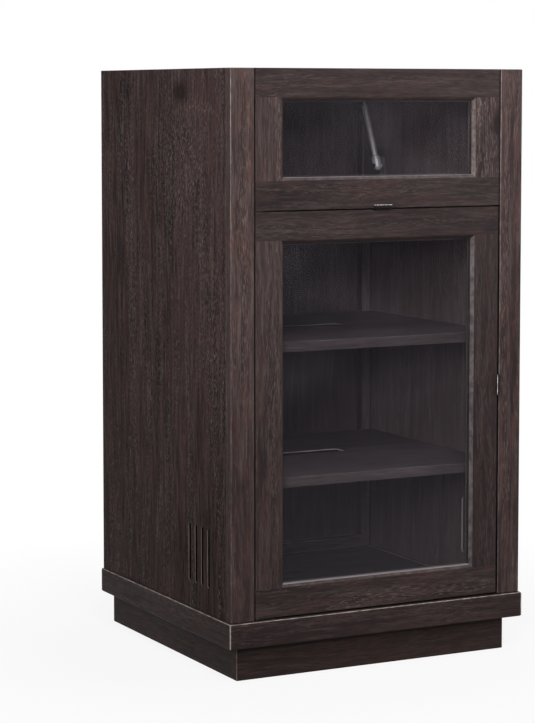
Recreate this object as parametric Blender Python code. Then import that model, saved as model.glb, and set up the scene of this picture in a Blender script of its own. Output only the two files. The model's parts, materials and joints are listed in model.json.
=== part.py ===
"""Stereo cabinet with a lift-up glazed lid over a turntable bay and a glazed door over three shelf bays.

Metres, +Z up. The front faces -Y, and the origin is on the floor under the middle of the base moulding.
"""

import math

import bmesh
import bpy
from mathutils import Euler, Matrix, Vector

# overall size, over the base moulding
WIDTH = 0.600
DEPTH = 0.559
HEIGHT = 1.067

# fit between pieces
TOUCH = 0.0003
EASE = 0.0008
SIDE_GAP = 0.002
PULL_GAP = 0.003
SPLIT_GAP = 0.0025
DOOR_LIFT = 0.004

# base
PLINTH_REVEAL = 0.062
PLINTH_INSET = 0.025
PLINTH_THICK = 0.018
MOULDING_HEIGHT = 0.045
MOULDING_PROUD = 0.004
MOULDING_EASE = 0.002

# carcass
SIDE_THICK = 0.018
POST_WIDTH = 0.046
POST_THICK = 0.019
POST_EASE = 0.0015
BOTTOM_THICK = 0.018
DIVIDER_THICK = 0.020
DIVIDER_RISE = 0.0085
DIVIDER_SETBACK = 0.002
BATTEN = 0.022
BACK_THICK = 0.009
BACK_RECESS = 0.009
REAR_RAIL_THICK = 0.018
REAR_RAIL_HEIGHT = 0.060
BACK_LAP = 0.010

# vent slots in each side panel
VENT_COUNT = 4
VENT_PITCH = 0.0255
VENT_WIDTH = 0.010
VENT_LENGTH = 0.105
VENT_FROM_FRONT = 0.128
VENT_ABOVE_BASE = 0.047

# shelves
SHELF_NAMES = ("lower", "upper")
SHELF_THICK = 0.018
SHELF_END_GAP = 0.002
SHELF_FRONT_SETBACK = 0.022
SHELF_BACK_GAP = 0.005
CABLE_SLOT = (0.164, 0.035)
CABLE_SLOT_CORNER = 0.006
CABLE_SLOT_FROM_FACE = 0.2915
BACK_HOLE_RISE = 0.110
PIN_RADIUS = 0.0025
PIN_DEPTH = 0.009
PIN_REACH = 0.010
PIN_COLLAR_RADIUS = 0.0045
PIN_COLLAR_THICK = 0.0012
PIN_INSET = 0.045

# glazed frames
FRAME_THICK = 0.020
MEMBER_WIDTH = 0.050
STICK_BEVEL = 0.0055
STICK_QUIRK = 0.001
STICK_FLAT = 0.0017
GLASS_THICK = 0.004
GLASS_GROOVE = 0.0055
GLASS_PLAY = 0.0005
FRONT_HEIGHT = 0.245
LID_THICK = 0.018

# finger pulls
PULL_LENGTH = 0.036
PULL_METAL = 0.0012
PULL_REACH = 0.009
PULL_LIP = 0.0065
PULL_TAIL = 0.018
PULL_BEND = 0.0022
DOOR_PULL_RISE = 0.3845

# long hinge of the lid
LONG_HINGE_LENGTH = 0.480
LONG_HINGE_KNUCKLES = 11
KNUCKLE_RADIUS = 0.003
HINGE_PIN_RADIUS = 0.0011
HINGE_CLEAR = 0.0002
LEAF_METAL = 0.0012
LEAF_DROP = 0.0135
KNUCKLE_ROOM = 0.0006

# pivot hinges of the door
PIVOT_INSET = 0.004
PIVOT_RADIUS = 0.002
PIVOT_LENGTH = 0.010
PIVOT_CLEAR = 0.0002
PIVOT_BORE_CLEAR = 0.0006
PIVOT_LEAF = 0.0020
PIVOT_LEAF_LENGTH = 0.042
PIVOT_LEAF_WIDTH = 0.012
PIVOT_LEAF_COVER = 0.0012
PIVOT_PLATE = 0.0015
PIVOT_TONGUE = 0.0012
PIVOT_TONGUE_WIDTH = 0.016
PIVOT_FLANGE_DROP = 0.007

# door catch
CATCH_LENGTH = 0.040
CATCH_DEPTH = 0.014
CATCH_HEIGHT = 0.012
CATCH_FROM_RIGHT = 0.080
STRIKE_METAL = 0.0012

# gas struts, measured from the lid's hinge axis
STRUT_BOARD_THICK = 0.020
STRUT_BOARD_WIDTH = 0.114
STRUT_BOARD_CLEAR = 0.004
STRUT_STANDOFF = 0.0125
FOOT_AHEAD = 0.0983
FOOT_DROP = 0.1818
HEAD_AHEAD = 0.0313
STUD_DROP = 0.014
TUBE_RADIUS = 0.0055
TUBE_BORE_RADIUS = 0.0035
TUBE_LENGTH = 0.128
TUBE_NECK = 0.006
ROD_RADIUS = 0.003
ROD_BURIED = 0.090
FITTING_RADIUS = 0.0085
FITTING_LENGTH = 0.022
FITTING_TAPER = 0.005
HEAD_RADIUS = 0.006
HEAD_LENGTH = 0.009
HEAD_NECK = 0.016
SEAT_DEPTH = 0.011
STUD_RADIUS = 0.003
STUD_CLEAR = 0.0003
BRACKET_METAL = 0.002
BRACKET_LENGTH = 0.036
BRACKET_WIDTH = 0.018

ROUND = 16

# places that follow from the sizes
FRONT = -DEPTH / 2
BACK = DEPTH / 2
FACE = FRONT + MOULDING_PROUD
OUTER = WIDTH / 2 - MOULDING_PROUD
INNER = OUTER - SIDE_THICK
POST_INNER = OUTER - POST_WIDTH
BASE_TOP = PLINTH_REVEAL + MOULDING_HEIGHT
MOULDING_THICK = PLINTH_INSET - TOUCH
PANEL_BACK = BACK - BACK_RECESS
PANEL_FRONT = PANEL_BACK - BACK_THICK
BATTEN_BACK = PANEL_FRONT - TOUCH
BATTEN_FRONT = BATTEN_BACK - BATTEN
FRAME_BACK = FACE + FRAME_THICK
LID_BOTTOM = HEIGHT - FRONT_HEIGHT
LID_UNDER = HEIGHT - LID_THICK
DOOR_TOP = LID_BOTTOM - SPLIT_GAP
DOOR_BOTTOM = BASE_TOP + DOOR_LIFT
DOOR_LEFT = -POST_INNER + SIDE_GAP
DOOR_RIGHT = POST_INNER - PULL_GAP
LID_SIDE = POST_INNER - SIDE_GAP
DIVIDER_FRONT = FRAME_BACK + DIVIDER_SETBACK
DIVIDER_TOP = LID_BOTTOM + DIVIDER_RISE
DIVIDER_UNDER = DIVIDER_TOP - DIVIDER_THICK
RAIL_FRONT = BACK - REAR_RAIL_THICK
LEAF_SPACE = HINGE_CLEAR + LEAF_METAL + TOUCH
HINGE_Y = RAIL_FRONT - LEAF_SPACE
HINGE_Z = HEIGHT - KNUCKLE_RADIUS - HINGE_CLEAR
LID_REAR = HINGE_Y - LEAF_SPACE
KNUCKLE_ROOM_RADIUS = KNUCKLE_RADIUS + KNUCKLE_ROOM
DOOR_AXIS = Vector((DOOR_LEFT + PIVOT_INSET, FACE + PIVOT_INSET, 0))
WASHER_RADIUS = PIVOT_INSET - PIVOT_LEAF_COVER
STICK_DEPTH = STICK_QUIRK + STICK_BEVEL + STICK_FLAT
SIGHT_INSET = MEMBER_WIDTH + STICK_BEVEL + STICK_QUIRK
GROOVE_DEPTH_END = STICK_DEPTH + GLASS_THICK + 2 * TOUCH
BOARD_FACE = INNER - TOUCH - STRUT_BOARD_THICK
STRUT_X = BOARD_FACE - STRUT_STANDOFF
FOOT = Vector((0, HINGE_Y - FOOT_AHEAD, HINGE_Z - FOOT_DROP))
HEAD = Vector((0, HINGE_Y - HEAD_AHEAD, LID_UNDER - STUD_DROP))
STRUT_TILT = -math.atan2(HEAD.y - FOOT.y, HEAD.z - FOOT.z)
STRUT_LENGTH = (HEAD - FOOT).length
SHELF_COUNT = len(SHELF_NAMES)
BAY_HEIGHT = (DIVIDER_UNDER - BASE_TOP - SHELF_COUNT * SHELF_THICK) / (SHELF_COUNT + 1)

for stale in list(bpy.data.objects):
    bpy.data.objects.remove(stale, do_unlink=True)


def finish(name, colour, roughness, metallic=0.0, alpha=1.0):
    """A plain material for a group of pieces."""
    material = bpy.data.materials.new(name)
    material.use_nodes = True
    shader = material.node_tree.nodes["Principled BSDF"]
    shader.inputs["Base Color"].default_value = (*colour, 1)
    shader.inputs["Roughness"].default_value = roughness
    shader.inputs["Metallic"].default_value = metallic
    shader.inputs["Alpha"].default_value = alpha
    return material


PANEL_WOOD = finish("panel_wood", (0.040, 0.033, 0.032), 0.55)
FRAME_WOOD = finish("frame_wood", (0.090, 0.070, 0.064), 0.55)
INNER_WOOD = finish("inner_wood", (0.055, 0.046, 0.044), 0.60)
GLASS = finish("glass", (0.55, 0.58, 0.60), 0.03, alpha=0.25)
STEEL = finish("steel", (0.62, 0.62, 0.64), 0.28, 1.0)
NICKEL = finish("nickel", (0.045, 0.040, 0.038), 0.38, 1.0)
PLASTIC = finish("plastic", (0.03, 0.03, 0.03), 0.5)


def axis_empty(name, location, tilt=0.0):
    """An empty on a joint's axis, which carries the pieces that move on it."""
    empty = bpy.data.objects.new(name, None)
    empty.location = location
    empty.rotation_euler = Euler((tilt, 0, 0))
    empty.empty_display_size = 0.02
    bpy.context.scene.collection.objects.link(empty)
    return empty


LID_AXIS = axis_empty("lid_axis", (0, HINGE_Y, HINGE_Z))
DOOR_SWING = axis_empty("door_axis", DOOR_AXIS)


def to_object(mesh_data, name, material=None, carrier=None):
    """Turns a bmesh in world coordinates into an object, on its carrier's axis if it has one."""
    bmesh.ops.recalc_face_normals(mesh_data, faces=mesh_data.faces)
    if mesh_data.calc_volume(signed=True) < 0:
        bmesh.ops.reverse_faces(mesh_data, faces=mesh_data.faces)
    if carrier:
        mesh_data.transform(Matrix.Translation(-carrier.location))
    mesh = bpy.data.meshes.new(name)
    mesh_data.to_mesh(mesh)
    mesh_data.free()
    body = bpy.data.objects.new(name, mesh)
    body.parent = carrier
    bpy.context.scene.collection.objects.link(body)
    if material:
        mesh.materials.append(material)
    return body


def box_mesh(low, high):
    """A box between two corners."""
    mesh_data = bmesh.new()
    bmesh.ops.create_cube(mesh_data, size=1)
    size = Vector(high) - Vector(low)
    middle = (Vector(high) + Vector(low)) / 2
    mesh_data.transform(Matrix.Translation(middle) @ Matrix.Diagonal((*size, 1)))
    return mesh_data


def loft_mesh(outlines, axis):
    """A closed skin over (outline, height) pairs along an axis. Outlines are (y, z), (x, z) or (x, y) pairs."""
    place = {"x": lambda p, h: (h, *p), "y": lambda p, h: (p[0], h, p[1]), "z": lambda p, h: (*p, h)}[axis]
    mesh_data = bmesh.new()
    rings = [[mesh_data.verts.new(place(p, height)) for p in points] for points, height in outlines]
    for near, far in zip(rings, rings[1:]):
        for index in range(len(near)):
            mesh_data.faces.new((near[index - 1], near[index], far[index], far[index - 1]))
    mesh_data.faces.new(rings[0][::-1])
    mesh_data.faces.new(rings[-1])
    return mesh_data


def prism_mesh(points, start, end, axis):
    """An outline extruded along an axis."""
    return loft_mesh([(points, start), (points, end)], axis)


def rod_mesh(start, end, radius, sides=ROUND):
    """A cylinder between two points."""
    start, end = Vector(start), Vector(end)
    along = end - start
    mesh_data = bmesh.new()
    bmesh.ops.create_cone(
        mesh_data, cap_ends=True, segments=sides, radius1=radius, radius2=radius, depth=along.length
    )
    turn = Vector((0, 0, 1)).rotation_difference(along).to_matrix().to_4x4()
    mesh_data.transform(Matrix.Translation((start + end) / 2) @ turn)
    return mesh_data


def turned_mesh(profile, sides=ROUND):
    """An outline of (radius, height) pairs, from axis to axis, turned about Z."""
    mesh_data = bmesh.new()
    points = [mesh_data.verts.new((r, 0, h)) for r, h in profile]
    edges = [mesh_data.edges.new(pair) for pair in zip(points, points[1:])]
    bmesh.ops.spin(
        mesh_data, geom=points + edges, axis=(0, 0, 1), cent=(0, 0, 0), steps=sides,
        angle=2 * math.pi, use_merge=True,
    )
    bmesh.ops.remove_doubles(mesh_data, verts=mesh_data.verts, dist=1e-6)
    return mesh_data


def slot_outline(middle, size, corner, steps=6):
    """A rectangle with rounded corners."""
    points = []
    for turn, (sign_a, sign_b) in enumerate(((1, 1), (-1, 1), (-1, -1), (1, -1))):
        centre_a = middle[0] + sign_a * (size[0] / 2 - corner)
        centre_b = middle[1] + sign_b * (size[1] / 2 - corner)
        for step in range(steps + 1):
            angle = math.pi / 2 * (turn + step / steps)
            points.append((centre_a + corner * math.cos(angle), centre_b + corner * math.sin(angle)))
    return [p for i, p in enumerate(points) if math.dist(p, points[i - 1]) > 1e-6]


def slot_mesh(middle, size, corner, low, high, axis):
    """Cutter for a rounded slot through a board between two heights, with an eased mouth on each face."""
    outlines = []
    for height, grow in ((low - EASE, 2 * EASE), (low + EASE, 0), (high - EASE, 0), (high + EASE, 2 * EASE)):
        grown = (size[0] + 2 * grow, size[1] + 2 * grow)
        outlines.append((slot_outline(middle, grown, corner + grow), height))
    return loft_mesh(outlines, axis)


def combine(body, mesh_data, operation, carrier=None):
    """Cuts or joins a helper shape, which stays in the file as a wire guide."""
    guide = to_object(mesh_data, f"{body.name}_guide_{len(body.modifiers)}", carrier=carrier)
    guide.hide_render = True
    guide.display_type = "WIRE"
    step = body.modifiers.new(f"{operation.lower()}_{len(body.modifiers)}", "BOOLEAN")
    step.operation = operation
    step.solver = "EXACT"
    step.object = guide


def cut(body, *shapes, carrier=None):
    """Cuts shapes out of a piece."""
    for shape in shapes:
        combine(body, shape, "DIFFERENCE", carrier)


def join(body, *shapes, carrier=None):
    """Joins shapes to a piece."""
    for shape in shapes:
        combine(body, shape, "UNION", carrier)


def ease(body, width=EASE):
    """Takes the sharp edge off a board."""
    step = body.modifiers.new("eased_edges", "BEVEL")
    step.width = width
    step.segments = 1
    step.limit_method = "ANGLE"
    step.angle_limit = math.radians(30)


def smooth(body):
    """Shades a round piece smooth, up to its sharp edges."""
    body.data.shade_smooth()
    body.data.set_sharp_from_angle(angle=math.radians(40))


def board(name, low, high, material, carrier=None, edge=EASE):
    """A flat board with eased edges."""
    body = to_object(box_mesh(low, high), name, material, carrier)
    ease(body, edge)
    return body


def moulding(name, plan):
    """A mitred board of the base moulding, with its outer long edges eased."""
    mesh_data = prism_mesh(plan, PLINTH_REVEAL, BASE_TOP, "z")
    outer = [
        edge for edge in mesh_data.edges
        if edge.verts[0].co.z == edge.verts[1].co.z
        and all(max(abs(v.co.x) - WIDTH / 2, FRONT - v.co.y) > -TOUCH / 2 for v in edge.verts)
    ]
    bmesh.ops.bevel(mesh_data, geom=outer, offset=MOULDING_EASE, segments=1, affect="EDGES")
    return to_object(mesh_data, f"moulding_{name}", PANEL_WOOD)


def build_base():
    """Plinth boards, and the mitred moulding that they carry."""
    side = WIDTH / 2 - PLINTH_INSET
    top = BASE_TOP - BOTTOM_THICK - TOUCH
    front = FRONT + PLINTH_INSET
    behind = front + PLINTH_THICK + TOUCH
    board("plinth_front", (-side, front, 0), (side, front + PLINTH_THICK, top), PANEL_WOOD)
    for name, hand in (("left", -1), ("right", 1)):
        edges = sorted((hand * side, hand * (side - PLINTH_THICK)))
        board(f"plinth_{name}", (edges[0], behind, 0), (edges[1], BACK, top), PANEL_WOOD)
    inside = side - PLINTH_THICK - TOUCH
    board("plinth_rear", (-inside, BACK - PLINTH_THICK, 0), (inside, BACK, top), PANEL_WOOD)

    edge, inner = WIDTH / 2, WIDTH / 2 - MOULDING_THICK
    front_plan = [
        (-edge + TOUCH, FRONT), (edge - TOUCH, FRONT),
        (inner - TOUCH, FRONT + MOULDING_THICK), (-inner + TOUCH, FRONT + MOULDING_THICK),
    ]
    band = moulding("front", front_plan)
    low = (DOOR_LEFT - TOUCH, FACE + PIVOT_LEAF_COVER - TOUCH, BASE_TOP - PIVOT_PLATE - TOUCH)
    high = (DOOR_LEFT + PIVOT_LEAF_LENGTH + TOUCH, low[1] + PIVOT_LEAF_WIDTH + 2 * TOUCH, BASE_TOP + EASE)
    cut(band, box_mesh(low, high))
    for name, hand in (("left", -1), ("right", 1)):
        plan = [
            (hand * edge, FRONT), (hand * inner, FRONT + MOULDING_THICK),
            (hand * inner, BACK), (hand * edge, BACK),
        ]
        moulding(name, plan)


def shelf_height(index):
    """Top of a shelf, counted from the lowest."""
    return BASE_TOP + (index + 1) * (BAY_HEIGHT + SHELF_THICK)


def pin_places():
    """Depths of the shelf pins, in from each end of a shelf."""
    front = DIVIDER_FRONT + SHELF_FRONT_SETBACK + PIN_INSET
    return front, BATTEN_FRONT - SHELF_BACK_GAP - PIN_INSET


def build_sides():
    """Side panels with their vents and pin holes, and the posts on their front edges."""
    start = FACE + POST_THICK + TOUCH
    vent_low = BASE_TOP + VENT_ABOVE_BASE
    first = FACE + VENT_FROM_FRONT - VENT_PITCH * (VENT_COUNT - 1) / 2
    for name, hand in (("left", -1), ("right", 1)):
        x_low, x_high = sorted((hand * OUTER, hand * INNER))
        panel = board(
            f"{name}_side_panel", (x_low, start, BASE_TOP + TOUCH), (x_high, BACK, HEIGHT), PANEL_WOOD
        )
        for index in range(VENT_COUNT):
            middle = (first + index * VENT_PITCH, vent_low + VENT_LENGTH / 2)
            cut(panel, slot_mesh(middle, (VENT_WIDTH, VENT_LENGTH), VENT_WIDTH / 2, x_low, x_high, "x"))
        for index in range(SHELF_COUNT):
            height = shelf_height(index) - SHELF_THICK - TOUCH - PIN_RADIUS
            for depth in pin_places():
                bore_end = (hand * (INNER + PIN_DEPTH + TOUCH), depth, height)
                bore_mouth = (hand * (INNER - PIN_DEPTH), depth, height)
                cut(panel, rod_mesh(bore_mouth, bore_end, PIN_RADIUS + TOUCH))
        x_low, x_high = sorted((hand * OUTER, hand * POST_INNER))
        board(
            f"{name}_front_post", (x_low, FACE, BASE_TOP + TOUCH), (x_high, FACE + POST_THICK, HEIGHT),
            FRAME_WOOD, edge=POST_EASE,
        )


def cable_slot(low, high):
    """Cutter for the cable slot that the shelves and the divider share."""
    return slot_mesh((0, FACE + CABLE_SLOT_FROM_FACE), CABLE_SLOT, CABLE_SLOT_CORNER, low, high, "z")


def build_inside():
    """Bottom, divider, shelves on their pins, battens and back."""
    floor_side = WIDTH / 2 - MOULDING_THICK - TOUCH
    board(
        "bottom_panel", (-floor_side, FRONT + MOULDING_THICK + TOUCH, BASE_TOP - BOTTOM_THICK),
        (floor_side, PANEL_BACK, BASE_TOP), INNER_WOOD,
    )
    wall = INNER - TOUCH
    divider = board(
        "divider_panel", (-wall, DIVIDER_FRONT, DIVIDER_UNDER),
        (wall, BATTEN_FRONT - TOUCH, DIVIDER_TOP), INNER_WOOD,
    )
    cut(divider, cable_slot(DIVIDER_UNDER, DIVIDER_TOP))

    for index, name in enumerate(SHELF_NAMES):
        top = shelf_height(index)
        low = (-INNER + SHELF_END_GAP, DIVIDER_FRONT + SHELF_FRONT_SETBACK, top - SHELF_THICK)
        high = (INNER - SHELF_END_GAP, BATTEN_FRONT - SHELF_BACK_GAP, top)
        shelf = board(f"{name}_shelf", low, high, INNER_WOOD)
        cut(shelf, cable_slot(low[2], top))
        for side, hand in (("left", -1), ("right", 1)):
            for end, depth in zip(("front", "rear"), pin_places()):
                build_pin(f"{name}_shelf_{side}_{end}_pin", hand, depth, low[2] - TOUCH - PIN_RADIUS)

    for name, hand in (("left", -1), ("right", 1)):
        x_low, x_high = sorted((hand * wall, hand * (wall - BATTEN)))
        board(
            f"{name}_rear_batten", (x_low, BATTEN_FRONT, BASE_TOP + TOUCH),
            (x_high, BATTEN_BACK, LID_UNDER - STRUT_BOARD_CLEAR), INNER_WOOD,
        )
    across = wall - BATTEN - TOUCH
    board(
        "rear_floor_batten", (-across, BATTEN_FRONT, BASE_TOP + TOUCH),
        (across, BATTEN_BACK, BASE_TOP + BATTEN), INNER_WOOD,
    )
    build_back(wall)


def build_back(wall):
    """Back panel with a cable hole for each bay, its top let into the rail that carries the lid."""
    under = HEIGHT - REAR_RAIL_HEIGHT
    rebate_top = under + BACK_LAP
    rebate_back = PANEL_BACK + TOUCH
    low = (-wall, PANEL_FRONT, BASE_TOP + TOUCH)
    high = (wall, PANEL_BACK, rebate_top - TOUCH)
    panel = board("back_panel", low, high, INNER_WOOD)
    floors = [BASE_TOP] + [shelf_height(i) for i in range(SHELF_COUNT)] + [DIVIDER_TOP]
    for floor in floors:
        middle = (0, floor + BACK_HOLE_RISE)
        cut(panel, slot_mesh(middle, CABLE_SLOT, CABLE_SLOT_CORNER, PANEL_FRONT, PANEL_BACK, "y"))
    room_back = HINGE_Y + KNUCKLE_ROOM_RADIUS
    room_under = HINGE_Z - KNUCKLE_ROOM_RADIUS
    outline = [
        (RAIL_FRONT, rebate_top), (rebate_back, rebate_top), (rebate_back, under), (BACK, under),
        (BACK, HEIGHT), (room_back, HEIGHT), (room_back, room_under), (RAIL_FRONT, room_under),
    ]
    to_object(prism_mesh(outline, -wall, wall, "x"), "rear_top_rail", PANEL_WOOD)


def build_pin(name, hand, depth, height):
    """A shelf pin: a peg with a collar that stops it at the wall."""
    profile = [
        (0, 0), (PIN_RADIUS, 0), (PIN_RADIUS, PIN_DEPTH), (PIN_COLLAR_RADIUS, PIN_DEPTH),
        (PIN_COLLAR_RADIUS, PIN_DEPTH + PIN_COLLAR_THICK), (PIN_RADIUS, PIN_DEPTH + PIN_COLLAR_THICK),
        (PIN_RADIUS, PIN_DEPTH + PIN_REACH), (0, PIN_DEPTH + PIN_REACH),
    ]
    mesh_data = turned_mesh(profile, 12)
    mesh_data.transform(Matrix.Rotation(-hand * math.pi / 2, 4, "Y"))
    mesh_data.transform(Matrix.Translation((hand * (INNER - TOUCH + PIN_DEPTH), depth, height)))
    smooth(to_object(mesh_data, name, STEEL))


def stick_outline(clearance=0.0):
    """Section of a frame member, as (distance from its outer edge, depth behind its face).

    The inner edge has a quirk, a bevel and a flat, with a groove for the glass behind them. With a
    clearance it is the shape of the tool that copes the ends of the stiles.
    """
    wide = MEMBER_WIDTH + clearance
    tip = SIGHT_INSET + clearance
    groove = tip - GLASS_GROOVE
    over = FRAME_THICK if clearance else 0
    outer = -over if clearance else EASE
    outline = [(outer, -over), (wide, -over), (wide, STICK_QUIRK), (wide + STICK_QUIRK, STICK_QUIRK)]
    outline += [(tip, STICK_DEPTH - STICK_FLAT), (tip, STICK_DEPTH + clearance)]
    outline += [(groove, STICK_DEPTH + clearance), (groove, GROOVE_DEPTH_END - clearance)]
    outline += [(tip, GROOVE_DEPTH_END - clearance), (tip, FRAME_THICK + over), (outer, FRAME_THICK + over)]
    if not clearance:
        outline += [(0, FRAME_THICK - EASE), (0, EASE)]
    return outline


def frame_rail(name, left, right, edge, inward, carrier):
    """A rail that runs the full width, with its moulded edge up (1) or down (-1)."""
    outline = [(FACE + depth, edge + inward * across) for across, depth in stick_outline()]
    return to_object(prism_mesh(outline, left, right, "x"), name, FRAME_WOOD, carrier)


def frame_stile(name, edge, inward, low, high, carrier):
    """A stile between two rails, its ends coped to fit over their moulded edges."""
    outline = [(edge + inward * across, FACE + depth) for across, depth in stick_outline()]
    start, end = low + MEMBER_WIDTH - GLASS_GROOVE, high - MEMBER_WIDTH + GLASS_GROOVE
    stile = to_object(prism_mesh(outline, start, end, "z"), name, FRAME_WOOD, carrier)
    left, right = sorted((edge - inward * MEMBER_WIDTH, edge + inward * 2 * MEMBER_WIDTH))
    for rail_edge, up in ((low, 1), (high, -1)):
        cope = [(FACE + depth, rail_edge + up * across) for across, depth in stick_outline(TOUCH)]
        cut(stile, prism_mesh(cope, left, right, "x"), carrier=carrier)
    return stile


def glazed_frame(prefix, left, right, low, high, carrier):
    """Four members round a pane that sits in their grooves. Returns the rails."""
    bottom = frame_rail(f"{prefix}_bottom_rail", left, right, low, 1, carrier)
    top = frame_rail(f"{prefix}_top_rail", left, right, high, -1, carrier)
    frame_stile(f"{prefix}_left_stile", left, 1, low, high, carrier)
    frame_stile(f"{prefix}_right_stile", right, -1, low, high, carrier)
    inset = SIGHT_INSET - GLASS_GROOVE + GLASS_PLAY
    near = FACE + STICK_DEPTH + TOUCH
    pane = box_mesh(
        (left + inset, near, low + inset), (right - inset, near + GLASS_THICK, high - inset)
    )
    to_object(pane, f"{prefix}_glass", GLASS, carrier)
    return bottom, top


def pull_outline():
    """Bent strip of a finger pull, as (depth from the face, rise from the edge), tail first."""
    tip = -PULL_REACH
    bend = [math.pi / 2 * step / 5 for step in range(6)]
    inner = PULL_BEND - PULL_METAL
    centre = (tip + PULL_BEND, PULL_BEND - PULL_METAL)
    outside = [(centre[0] - PULL_BEND * math.sin(a), centre[1] - PULL_BEND * math.cos(a)) for a in bend]
    inside = [(centre[0] - inner * math.sin(a), centre[1] - inner * math.cos(a)) for a in bend]
    tail = [(PULL_TAIL, 0), (PULL_TAIL, -PULL_METAL)]
    return tail + outside + [(tip, PULL_LIP), (tip + PULL_METAL, PULL_LIP)] + inside[::-1]


def build_lid():
    """Lid panel and glazed front, which lift as one."""
    glazed_frame("lid", -LID_SIDE, LID_SIDE, LID_BOTTOM, HEIGHT, LID_AXIS)
    side = INNER - SIDE_GAP
    room_front = HINGE_Y - KNUCKLE_ROOM_RADIUS
    room_under = HINGE_Z - KNUCKLE_ROOM_RADIUS
    start = FRAME_BACK + TOUCH
    outline = [
        (start, LID_UNDER), (LID_REAR, LID_UNDER), (LID_REAR, room_under), (room_front, room_under),
        (room_front, HEIGHT), (start, HEIGHT),
    ]
    ease(to_object(prism_mesh(outline, -side, side, "x"), "lid_panel", PANEL_WOOD, LID_AXIS))
    strip = [(FACE + depth, LID_BOTTOM - TOUCH + rise) for depth, rise in pull_outline()]
    pull = to_object(
        prism_mesh(strip, -PULL_LENGTH / 2, PULL_LENGTH / 2, "x"), "lid_pull", NICKEL, LID_AXIS
    )
    smooth(pull)


def build_long_hinge():
    """Leaves with interlocking knuckles on a pin along the rear top edge."""
    pitch = LONG_HINGE_LENGTH / LONG_HINGE_KNUCKLES
    start = -LONG_HINGE_LENGTH / 2
    bore = HINGE_PIN_RADIUS + HINGE_CLEAR
    for name, hand, first, carrier in (
        ("lid_hinge_rail_leaf", 1, 0, None), ("lid_hinge_lid_leaf", -1, 1, LID_AXIS)
    ):
        near = HINGE_Y + hand * HINGE_CLEAR
        far = near + hand * LEAF_METAL
        y_low, y_high = sorted((near, far))
        low = (start, y_low, HINGE_Z - LEAF_DROP)
        high = (-start, y_high, HINGE_Z - KNUCKLE_RADIUS - HINGE_CLEAR)
        leaf = to_object(box_mesh(low, high), name, STEEL, carrier)
        for index in range(first, LONG_HINGE_KNUCKLES, 2):
            left = start + index * pitch + HINGE_CLEAR
            right = start + (index + 1) * pitch - HINGE_CLEAR
            web = box_mesh((left, y_low, high[2] - LEAF_METAL), (right, y_high, HINGE_Z))
            barrel = rod_mesh((left, HINGE_Y, HINGE_Z), (right, HINGE_Y, HINGE_Z), KNUCKLE_RADIUS)
            join(leaf, web, barrel, carrier=carrier)
        eye = rod_mesh((start - bore, HINGE_Y, HINGE_Z), (-start + bore, HINGE_Y, HINGE_Z), bore)
        cut(leaf, eye, carrier=carrier)
    pin = rod_mesh((start, HINGE_Y, HINGE_Z), (-start, HINGE_Y, HINGE_Z), HINGE_PIN_RADIUS, 12)
    smooth(to_object(pin, "lid_hinge_pin", STEEL))


def door_leaf_box(low, high, room=0.0):
    """Space of a hinge leaf let into the door's edge near the pivot."""
    near = FACE + PIVOT_LEAF_COVER
    return box_mesh(
        (DOOR_LEFT + PIVOT_LEAF_COVER - room, near - room, low),
        (DOOR_LEFT + PIVOT_LEAF_LENGTH + room, near + PIVOT_LEAF_WIDTH + room, high),
    )


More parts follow.
